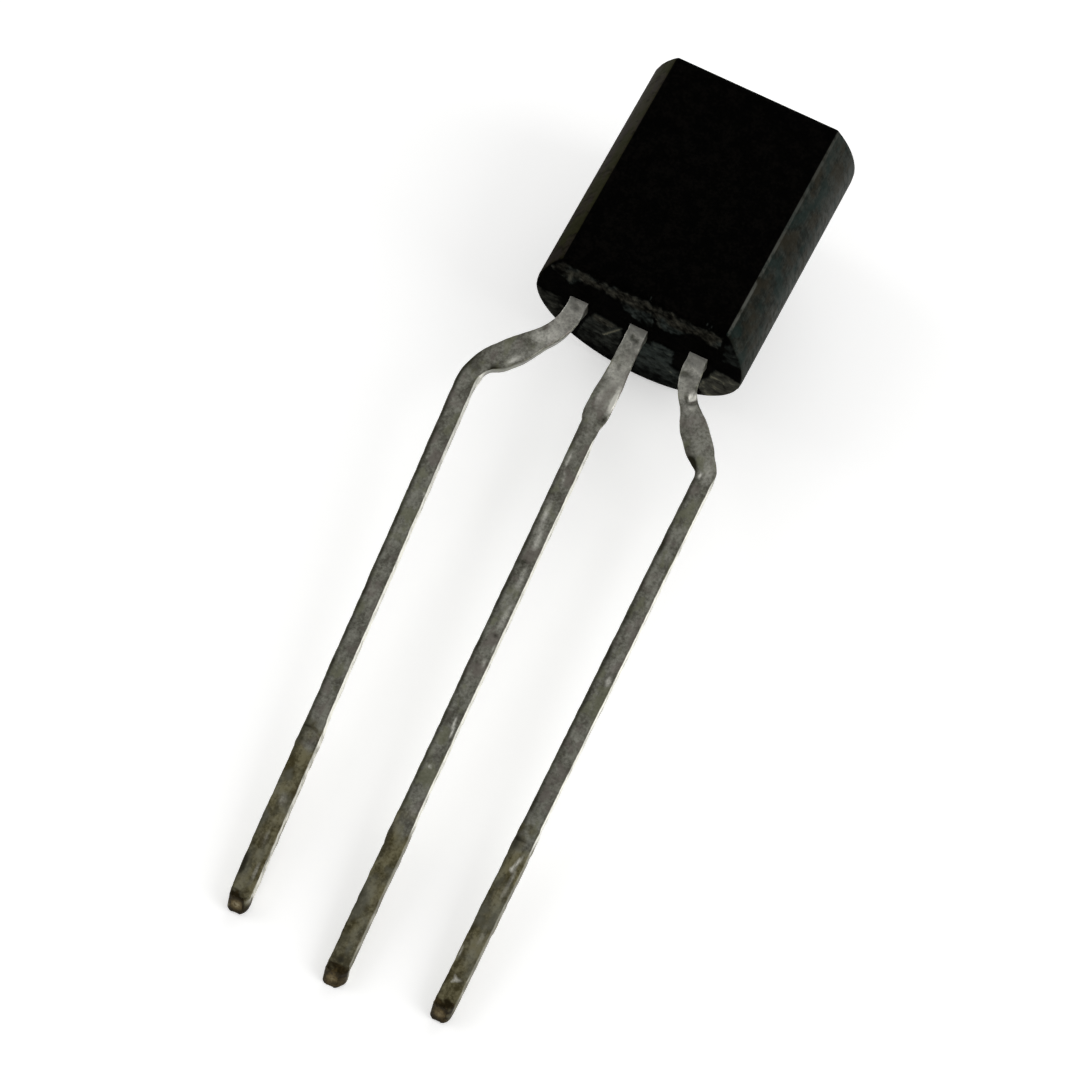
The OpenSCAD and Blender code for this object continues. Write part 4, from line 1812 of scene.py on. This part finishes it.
    def _chewed_and_lit(self, point: Vector, ragged: float, rough: float) -> WearAndLight:
        """Returns what the chewed strip under the flat does at a point: its wear, and the painted highlight
        of its rounded edge.

        Args:
            point: The point in the package's frame.
            ragged: How far the noise shifts the edges there.
            rough: Noise of about -1 to 1.

        Returns:
            Its rise, how pale it is and how warm.
        """
        fine, broad = grain(point, 0.07, 2), grain(point, 0.5, 2)
        turned = Vector((0.8 * point.x - 0.6 * point.z, point.y, 0.6 * point.z + 0.8 * point.x))
        streak = grain(turned, 0.10, 4)
        foot, (below, above) = self._foot(point.x + 0.5 * ragged), self.chewed_edge
        edge = smoothstep(foot - below, foot + above, point.z + ragged)
        edge *= 1.0 - smoothstep(*self.chewed_heights, point.y + 0.4 * ragged)
        rise = edge * (self.rough_relief * rough + self.strip_relief * fine - self.strip_relief)
        front = point.z + 0.6 * grain(point, 0.4, 2) + 0.15 * max(point.x, 0.0)
        # the strip's pale is wear, and a painted highlight where the rounded edge turns to the light
        pale = edge * clamp(0.42 + 0.42 * streak + 0.40 * broad, *self.chewed_and_lit_pale)
        return rise, pale, edge * smoothstep(*self.warm_span, front)

    def _surface(self, point: Vector) -> WearAndLight:
        """Returns the wear, the painted light and the painted shadow round the leads at a point.

        Args:
            point: The point in the package's frame.

        Returns:
            Its rise, how pale it is and how warm.
        """
        low = 1.0 - smoothstep(*self.worn_and_lit_heights, point.y)
        if low <= 0.0:
            return 0.0, 0.0, 0.0
        ragged = 0.08 * grain(point, 0.5, 2) + 0.06 * grain(point, 0.14, 3)
        rough = grain(point, 0.16, 3)
        rise, pale, warm = self._flaked_and_lit(point, ragged, rough)
        chewed_rise, chewed_and_lit_pale, chewed_warm = self._chewed_and_lit(point, ragged, rough)
        rise, pale, warm = rise + chewed_rise, max(pale, chewed_and_lit_pale), max(warm, chewed_warm)
        for scratch in self.scratches_and_glints:
            share = scratch.share(point)
            rise -= scratch.depth * share
            pale = max(pale, scratch.pale * share)
            warm = max(warm, scratch.warm * share)
        for lead in self.sizes.leads:
            beside = abs(point.x - lead.exit_x) - lead.exit_width / 2
            away = max(beside, abs(point.z) - self.sizes.strip_thickness / 2)
            rise -= self.lead_groove * bell(away, 0.0, self.groove_width) * low
            # painted shadow: the pale is taken away round each lead, which leaves a dark halo
            pale *= smoothstep(0.0, self.lead_shadow_rim, away + ragged)
        return rise * low, clamp(pale, 0.0, self.palest) * low, warm

    def build(self, node: bpy.types.Object) -> bmesh.types.BMesh:
        """Builds the case's mesh in the package's frame.

        Args:
            node: The case's solid, whose hollows for the leads and the chip are kept.

        Returns:
            The closed mesh.
        """
        mesh = merged_copy(node, self.pose)
        self._divide(mesh)
        zone = mesh.faces.layers.int["zone"]
        layers = {key: mesh.verts.layers.float.new(key) for key in ("pale", "warm")}
        outer = {
            vert: [face for face in vert.link_faces if face[zone] != Zone.HOLLOW.value] for vert in mesh.verts
        }
        outside = [vert for vert in mesh.verts if outer[vert]]
        for vert in outside:
            vert.co = self._settled(vert.co)
        mesh.normal_update()
        moves = []
        for vert in outside:
            rise, vert[layers["pale"]], vert[layers["warm"]] = self._surface(vert.co)
            normal = sum((face.normal for face in outer[vert]), Vector()).normalized()
            moves.append((vert, normal * rise))
        for vert, move in moves:
            vert.co += move
        mesh.faces.layers.int.remove(zone)
        bmesh.ops.remove_doubles(mesh, verts=mesh.verts, dist=MERGE_DISTANCE)
        return mesh

    def make(self, node: bpy.types.Object, material: bpy.types.Material) -> bpy.types.Object:
        """Builds and dresses the case and puts it in place of its solid.

        Args:
            node: The case's solid.
            material: The moulding's finish.

        Returns:
            The piece.
        """
        piece = finish_piece(self.build(node), "moulded_case", self.pose, material, smooth=32.0)
        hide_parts("case")
        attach(piece, "root")
        return piece


# ---------------------------------------------------------------- studio


@dataclass(frozen=True)
class Lamp:
    """A soft box that faces a point."""

    name: str
    place: tuple[float, float, float]
    size: tuple[float, float]
    glow: float
    colour: Colour = (1.0, 1.0, 1.0)

    def make(self, target: Vector) -> None:
        """Adds the lamp.

        Args:
            target: The point that it faces.
        """
        light = bpy.data.lights.new(self.name, "AREA")
        light.shape = "RECTANGLE"
        light.size, light.size_y = self.size
        light.energy = self.glow * math.pi * self.size[0] * self.size[1]
        light.color = self.colour
        lamp = add_object(self.name, light)
        lamp.location = self.place
        lamp.rotation_euler = (target - lamp.location).to_track_quat("-Z", "Y").to_euler()


@dataclass(frozen=True)
class Studio:
    """The floor, the soft light and the camera.

    Angles are in degrees, the sensor is in millimetres, and other lengths are in metres unless the
    name says pixels. The sky turns from its low to its high colour over the span.
    """

    pose: LyingPose
    yaw: float = 9.6669
    pitch: float = 20.5
    roll: float = -29.071
    focal_pixels: float = 3929.09
    image_pixels: float = 1080.0
    origin_pixel: tuple[float, float] = (638.09, 332.90)
    pixels_per_millimetre: float = 52.3878
    sensor: float = 36.0
    clip: tuple[float, float] = (0.001, 10.0)
    floor_half: float = 1.5
    sky_low: Colour = (0.62, 0.62, 0.61)
    sky_high: Colour = (0.30, 0.30, 0.295)
    sky_span: tuple[float, float] = (0.35, 0.95)
    floor_colour: Colour = (0.90, 0.90, 0.90)
    floor_lift: float = 0.39
    lamps: tuple[Lamp, ...] = (
        Lamp("softbox_left", (-0.11, 0.0, 0.075), (0.08, 0.12), 1.2),
        Lamp("softbox_right", (0.11, 0.0, 0.075), (0.08, 0.12), 2.0),
        Lamp("softbox_far", (0.0, 0.12, 0.08), (0.12, 0.08), 1.2),
    )

    def camera_matrix(self) -> Matrix:
        """Returns how the camera stands: turned as told, with the package's origin on its pixel."""
        yaw, pitch, roll = (math.radians(a) for a in (self.yaw, self.pitch, self.roll))
        across = Vector((math.cos(yaw), 0.0, -math.sin(yaw)))
        back = Vector((math.sin(yaw) * math.cos(pitch), -math.sin(pitch), math.cos(yaw) * math.cos(pitch)))
        upward = back.cross(across)
        right = math.cos(roll) * across - math.sin(roll) * upward
        up = math.sin(roll) * across + math.cos(roll) * upward
        middle = self.image_pixels / 2
        aside = (self.origin_pixel[0] - middle) / self.pixels_per_millimetre
        below = (self.origin_pixel[1] - middle) / self.pixels_per_millimetre
        distance = self.focal_pixels / self.pixels_per_millimetre
        eye = -aside * right + below * up + distance * back
        axes = [self.pose.direction(v) for v in (right, up, back)]
        turn = Matrix(axes).transposed().to_4x4()
        return Matrix.Translation(self.pose.place(eye)) @ turn

    def make_camera(self) -> None:
        """Adds the camera and makes it the scene's."""
        data = bpy.data.cameras.new("camera")
        data.sensor_width = self.sensor
        data.lens = self.focal_pixels / self.image_pixels * self.sensor
        data.clip_start, data.clip_end = self.clip
        camera = add_object("camera", data)
        camera.matrix_world = self.camera_matrix()
        bpy.context.scene.camera = camera

    def make_floor(self) -> None:
        """Adds the pale floor, which shows as white and keeps the object's shadow."""
        mesh = bmesh.new()
        bmesh.ops.create_grid(mesh, x_segments=1, y_segments=1, size=self.floor_half)
        data = bpy.data.meshes.new("floor")
        mesh.to_mesh(data)
        mesh.free()
        floor = add_object("floor", data)
        made = bpy.data.materials.new("pale_floor")
        sheet = NodeSheet(made)
        matt = sheet.value("ShaderNodeBsdfDiffuse", inputs={"Color": (*self.floor_colour, 1.0)})
        rays = sheet.add("ShaderNodeLightPath")
        seen = [Value(sheet, rays.outputs[f"Is {kind} Ray"]) for kind in ("Camera", "Glossy", "Transmission")]
        lift = self.floor_lift * seen[0].highest(seen[1]).highest(seen[2])
        glow = sheet.value("ShaderNodeEmission", inputs={"Color": (1.0, 1.0, 1.0, 1.0), "Strength": lift})
        sheet.finish_with(sheet.value("ShaderNodeAddShader", inputs={0: matt, 1: glow}))
        data.materials.append(made)

    def make_light(self) -> None:
        """Adds the lamps and the sky, which is dimmer overhead than near the horizon."""
        for lamp in self.lamps:
            lamp.make(Vector((0.0, 0.0, 0.0)))
        world = bpy.data.worlds.new("soft_sky")
        bpy.context.scene.world = world
        sheet = NodeSheet(world)
        direction = sheet.value("ShaderNodeTexCoord", out="Generated")
        height = sheet.split(direction)[2]
        glow = sheet.blend(height.rise(*self.sky_span), self.sky_low, self.sky_high)
        sky = sheet.value("ShaderNodeBackground", inputs={"Color": glow, "Strength": 1.0})
        sheet.finish_with(sky, "ShaderNodeOutputWorld")

    def make(self) -> None:
        """Adds everything that isn't part of the object."""
        view = bpy.context.scene.view_settings
        view.view_transform = "Standard"
        self.make_floor()
        self.make_light()
        self.make_camera()


# ---------------------------------------------------------------- the object's pieces

# Each row: along, across, length, width, rise, tone, then the side if it isn't the front, and the turn.

# Tones above 0 paint stains and painted highlights; tones below 0 paint stains and painted shade.
COLLECTOR_BLEMISHES_AND_LIGHT = (
    BlemishAndLight(0.15, 0.04, 0.07, 0.07, -0.006, -0.5),
    BlemishAndLight(0.93, -0.12, 0.10, 0.05, -0.004, -0.5),
    BlemishAndLight(0.66, -0.04, 0.18, 0.14, 0.0, 0.18),
    BlemishAndLight(1.15, -0.06, 0.12, 0.10, 0.0, 0.15),
    BlemishAndLight(0.95, 0.06, 0.22, 0.10, 0.004, 0.3),
    BlemishAndLight(1.27, 0.11, 0.07, 0.05, -0.004, -0.45),
    BlemishAndLight(1.36, -0.02, 0.12, 0.06, -0.004, -0.3),
    # painted highlight
    BlemishAndLight(1.74, 0.24, 0.18, 0.05, 0.003, 0.65),
    BlemishAndLight(2.18, 0.22, 0.14, 0.06, -0.008, -1.0),
    BlemishAndLight(2.50, 0.02, 0.15, 0.14, -0.005, -0.6),
    BlemishAndLight(2.58, 0.19, 0.10, 0.03, 0.003, 0.5),
    # painted shade along the left edge, here and in the next two rows
    BlemishAndLight(2.80, -0.13, 0.30, 0.07, 0.0, -0.2),
    BlemishAndLight(4.60, -0.12, 1.10, 0.07, 0.0, -0.16),
    BlemishAndLight(7.60, -0.12, 2.00, 0.07, 0.0, -0.14),
    BlemishAndLight(5.30, 0.17, 0.06, 0.03, 0.003, 0.7),
    BlemishAndLight(5.18, 0.09, 0.24, 0.07, 0.0, -0.30),
    BlemishAndLight(6.84, 0.10, 0.20, 0.06, 0.0, 0.28),
    BlemishAndLight(7.95, 0.02, 0.22, 0.06, -0.004, -0.12),
    BlemishAndLight(9.90, 0.03, 0.40, 0.14, 0.0, -0.13),
    BlemishAndLight(10.35, -0.05, 0.03, 0.10, -0.006, -0.6),
    BlemishAndLight(10.63, 0.02, 0.12, 0.20, 0.0, -0.38),
    BlemishAndLight(11.15, -0.06, 0.14, 0.12, 0.0, 0.40),
    BlemishAndLight(11.84, 0.02, 0.24, 0.18, 0.0, 0.52),
    BlemishAndLight(12.13, 0.03, 0.12, 0.03, -0.008, -0.9, turn=-45.0),
    BlemishAndLight(12.58, 0.04, 0.28, 0.08, 0.0, 0.48),
    BlemishAndLight(13.26, 0.11, 0.32, 0.06, 0.0, 0.62),
    BlemishAndLight(13.20, -0.14, 0.20, 0.05, 0.0, -0.7),
    BlemishAndLight(1.20, 0.0, 0.30, 0.50, 0.025, 0.0, Side.RIGHT),
    BlemishAndLight(2.15, 0.0, 0.18, 0.50, -0.030, 0.0, Side.RIGHT),
    BlemishAndLight(12.50, 0.0, 1.50, 0.50, 0.030, 0.0, Side.LEFT),
)

# Tones above 0 paint stains and painted highlights; tones below 0 paint stains and painted shade.
BASE_BLEMISHES_AND_LIGHT = (
    BlemishAndLight(0.20, -0.03, 0.05, 0.05, -0.006, -0.6),
    BlemishAndLight(0.25, 0.08, 0.06, 0.06, -0.008, -0.8),
    BlemishAndLight(0.50, -0.08, 0.15, 0.06, 0.006, 0.2),
    BlemishAndLight(0.56, 0.02, 0.16, 0.16, 0.0, -0.22),
    BlemishAndLight(0.85, 0.0, 0.09, 0.06, -0.004, -0.15),
    BlemishAndLight(0.98, -0.12, 0.16, 0.07, 0.0, 0.3),
    BlemishAndLight(1.15, 0.02, 0.15, 0.08, 0.003, 0.1),
    BlemishAndLight(1.62, -0.08, 0.14, 0.06, 0.003, 0.25),
    # painted highlight
    BlemishAndLight(1.58, 0.22, 0.27, 0.045, 0.004, 1.5),
    # painted highlight on the right side
    BlemishAndLight(1.62, 0.0, 0.25, 0.30, 0.004, 1.6, Side.RIGHT),
    BlemishAndLight(2.02, 0.20, 0.07, 0.05, -0.008, -1.1),
    BlemishAndLight(2.22, 0.195, 0.07, 0.04, 0.003, 0.4),
    BlemishAndLight(2.10, 0.0, 0.06, 0.50, 0.032, 0.0, Side.LEFT),
    BlemishAndLight(1.05, 0.0, 0.22, 0.50, 0.012, 0.0, Side.LEFT),
    BlemishAndLight(1.55, 0.0, 0.22, 0.50, -0.014, 0.0, Side.LEFT),
    BlemishAndLight(1.15, 0.0, 0.30, 0.50, 0.025, 0.0, Side.RIGHT),
    BlemishAndLight(2.42, -0.04, 0.30, 0.16, 0.0, 0.16),
    BlemishAndLight(3.06, -0.09, 0.18, 0.045, 0.003, 0.80),
    BlemishAndLight(3.44, -0.01, 0.26, 0.035, 0.002, 0.38, turn=12.0),
    BlemishAndLight(4.25, -0.03, 0.32, 0.065, 0.002, 0.60),
    BlemishAndLight(4.80, 0.045, 0.26, 0.060, 0.002, 0.58),
    BlemishAndLight(5.62, 0.07, 0.30, 0.060, 0.002, 0.60),
    BlemishAndLight(6.42, 0.10, 0.34, 0.065, 0.002, 0.66),
    # painted shade along the left edge, here and in the next row
    BlemishAndLight(5.00, -0.11, 0.50, 0.05, -0.003, -0.20),
    BlemishAndLight(6.00, -0.11, 0.50, 0.05, -0.003, -0.20),
    BlemishAndLight(5.08, 0.05, 0.05, 0.06, -0.004, -0.6),
    BlemishAndLight(5.29, 0.0, 0.05, 0.11, -0.006, -0.9, turn=20.0),
    BlemishAndLight(6.02, 0.09, 0.18, 0.02, 0.0, -0.5),
    BlemishAndLight(6.84, 0.09, 0.06, 0.06, -0.005, -0.9),
    BlemishAndLight(7.13, 0.16, 0.12, 0.035, 0.003, 0.55),
    BlemishAndLight(7.42, 0.11, 0.12, 0.045, 0.003, 0.50),
    # painted glint
    BlemishAndLight(8.79, 0.095, 0.19, 0.020, 0.006, 1.4, turn=6.0),
    BlemishAndLight(9.20, 0.12, 0.10, 0.04, -0.003, -0.5),
    BlemishAndLight(9.66, 0.01, 0.04, 0.035, 0.006, 0.8),
    BlemishAndLight(10.58, 0.08, 0.20, 0.09, 0.0, 0.42),
    BlemishAndLight(10.87, -0.15, 0.13, 0.06, 0.022, 0.0, Side.LEFT),
    BlemishAndLight(11.88, -0.08, 0.14, 0.08, 0.003, 0.55),
    BlemishAndLight(12.40, -0.08, 0.20, 0.10, 0.0, -0.24),
    BlemishAndLight(13.18, -0.01, 0.24, 0.12, 0.0, -0.45),
    BlemishAndLight(13.66, 0.04, 0.14, 0.08, 0.0, -0.9),
    BlemishAndLight(13.85, 0.0, 0.14, 0.30, 0.035, 0.0, Side.RIGHT),
)

# Tones above 0 paint stains and painted highlights; tones below 0 paint stains and painted shade.
EMITTER_BLEMISHES_AND_LIGHT = (
    BlemishAndLight(0.15, -0.02, 0.07, 0.06, -0.004, -0.22),
    BlemishAndLight(0.42, -0.08, 0.05, 0.10, -0.005, -0.7),
    BlemishAndLight(0.68, 0.06, 0.12, 0.12, 0.0, -0.12),
    # painted highlight
    BlemishAndLight(0.89, 0.11, 0.090, 0.045, 0.020, 3.5, turn=-40.0),
    BlemishAndLight(0.93, -0.02, 0.12, 0.03, -0.010, -0.8),
    BlemishAndLight(1.03, 0.09, 0.035, 0.06, -0.020, -1.3),
    BlemishAndLight(1.12, 0.03, 0.03, 0.08, 0.008, 0.4),
    BlemishAndLight(2.20, -0.22, 0.12, 0.070, -0.008, -1.5),
    BlemishAndLight(2.45, -0.22, 0.15, 0.03, 0.0, -0.8),
    # painted highlight
    BlemishAndLight(2.57, -0.085, 0.07, 0.035, 0.005, 1.2),
    BlemishAndLight(2.45, 0.05, 0.18, 0.10, 0.003, 0.3),
    BlemishAndLight(2.66, 0.09, 0.16, 0.10, 0.0, 0.28),
    BlemishAndLight(2.15, -0.02, 0.10, 0.10, 0.0, 0.16),
    BlemishAndLight(3.10, -0.05, 0.12, 0.07, -0.003, -0.3),
    BlemishAndLight(4.75, 0.11, 0.35, 0.05, 0.0, 0.26),
    BlemishAndLight(5.75, 0.06, 0.50, 0.10, 0.0, 0.18),
    BlemishAndLight(4.15, -0.09, 0.25, 0.05, 0.0, -0.4),
    BlemishAndLight(5.70, -0.09, 0.25, 0.05, 0.0, -0.4),
    BlemishAndLight(6.65, -0.10, 0.30, 0.06, 0.0, -0.45),
    BlemishAndLight(7.60, -0.10, 0.20, 0.05, 0.0, -0.35),
    BlemishAndLight(6.75, 0.06, 0.26, 0.09, 0.0, 0.26),
    BlemishAndLight(7.06, 0.10, 0.12, 0.05, 0.004, 0.8),
    BlemishAndLight(8.35, 0.04, 0.18, 0.06, 0.002, 0.2),
    BlemishAndLight(9.05, 0.11, 0.25, 0.05, 0.0, 0.15),
    BlemishAndLight(8.25, -0.11, 0.25, 0.06, 0.0, -0.22),
    BlemishAndLight(9.80, -0.05, 0.32, 0.12, 0.0, -0.40),
    BlemishAndLight(10.50, 0.0, 0.04, 0.13, -0.004, -0.7),
    BlemishAndLight(10.64, -0.02, 0.12, 0.13, 0.0, -0.50),
    BlemishAndLight(10.90, 0.085, 0.20, 0.046, 0.005, 0.76, turn=-14.0),
    BlemishAndLight(11.09, 0.02, 0.07, 0.060, 0.003, 0.50, turn=20.0),
    BlemishAndLight(11.22, 0.12, 0.24, 0.06, 0.0, 0.52),
    BlemishAndLight(11.58, 0.10, 0.24, 0.05, 0.0, 0.45),
    BlemishAndLight(12.42, 0.11, 0.22, 0.05, 0.0, 0.45),
    BlemishAndLight(12.70, 0.06, 0.30, 0.05, 0.0, 0.3),
    BlemishAndLight(12.85, -0.14, 0.26, 0.06, 0.0, 1.15),
    BlemishAndLight(13.29, -0.04, 0.08, 0.050, 0.002, 0.66, turn=35.0),
    BlemishAndLight(13.37, 0.04, 0.13, 0.060, 0.002, 0.70, turn=-65.0),
    BlemishAndLight(13.45, -0.05, 0.06, 0.045, 0.0, 0.52),
    # painted shade on the left side
    BlemishAndLight(2.33, 0.0, 0.30, 0.50, -0.010, -1.3, Side.LEFT),
    BlemishAndLight(2.20, 0.0, 0.15, 0.50, -0.020, 0.0, Side.RIGHT),
)


def formed_leads(sizes: PackageSizes) -> list[FormedLead]:
    """Returns the three leads with their blemishes and their painted highlights and shade.

    Args:
        sizes: The package's sizes.

    Returns:
        The leads from -X to +X. The collector's is cut a little shorter than its form says, and
        the emitter's a little longer.
    """
    shorter, longer = -0.04, 0.05
    collector = replace(sizes.collector, length=sizes.collector.length + shorter)
    emitter = replace(sizes.emitter, length=sizes.emitter.length + longer)
    return [
        FormedLead(
            collector,
            sizes,
            COLLECTOR_BLEMISHES_AND_LIGHT,
            seed=11.0,
            residue_start=10.45,
            residue_lag=0.1,
            side_residue=0.1,
            side_sheen_change=5.35,
        ),
        FormedLead(
            sizes.base,
            sizes,
            BASE_BLEMISHES_AND_LIGHT,
            seed=23.0,
            residue_start=11.0,
            residue_lag=-0.2,
            side_sheen_change=2.4,
            core=0.75,
        ),
        FormedLead(
            emitter,
            sizes,
            EMITTER_BLEMISHES_AND_LIGHT,
            seed=37.0,
            residue_start=10.5,
            residue_lag=0.1,
            side_sheen_change=2.8,
            core=0.7,
        ),
    ]


def dress_inside(nodes: dict[str, bpy.types.Object], pose: LyingPose) -> None:
    """Gives the chip and its wires, which keep their solids, their finishes.

    Args:
        nodes: The solids by name.
        pose: How the package lies.
    """
    silicon = PlainMetal("silicon_chip", (0.10, 0.11, 0.13), (0.05, 0.055, 0.07), 0.25, 0.6, 0.08)
    gold = PlainMetal("bond_gold", (0.90, 0.66, 0.25), (0.75, 0.52, 0.18), 0.28, 1.0, 0.03)
    for name, finish in (("chip", silicon), ("base_wire", gold), ("emitter_wire", gold)):
        nodes[name].data.materials.clear()
        nodes[name].data.materials.append(finish.material(pose))
        LOG.info("%s: dressed in %s", name, finish.name)


def main() -> None:
    """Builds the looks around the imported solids."""
    logging.basicConfig(level=logging.INFO, format="%(name)s: %(message)s")
    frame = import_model()
    sizes = PackageSizes()
    pose = LyingPose(sizes)
    epoxy = MouldedEpoxy().material(pose)
    tin = DullTin().material(pose)
    dress_inside(frame["nodes"], pose)
    pieces = [MouldedCase(sizes, pose).make(frame["nodes"]["case"], epoxy)]
    for lead in formed_leads(sizes):
        pieces.append(lead.make(frame["nodes"][f"{lead.form.name}_lead"], pose, tin))
    for piece in pieces:
        LOG.info("%s: %d faces", piece.name, len(piece.data.polygons))
    Studio(pose).make()


if __name__ == "__main__":
    main()
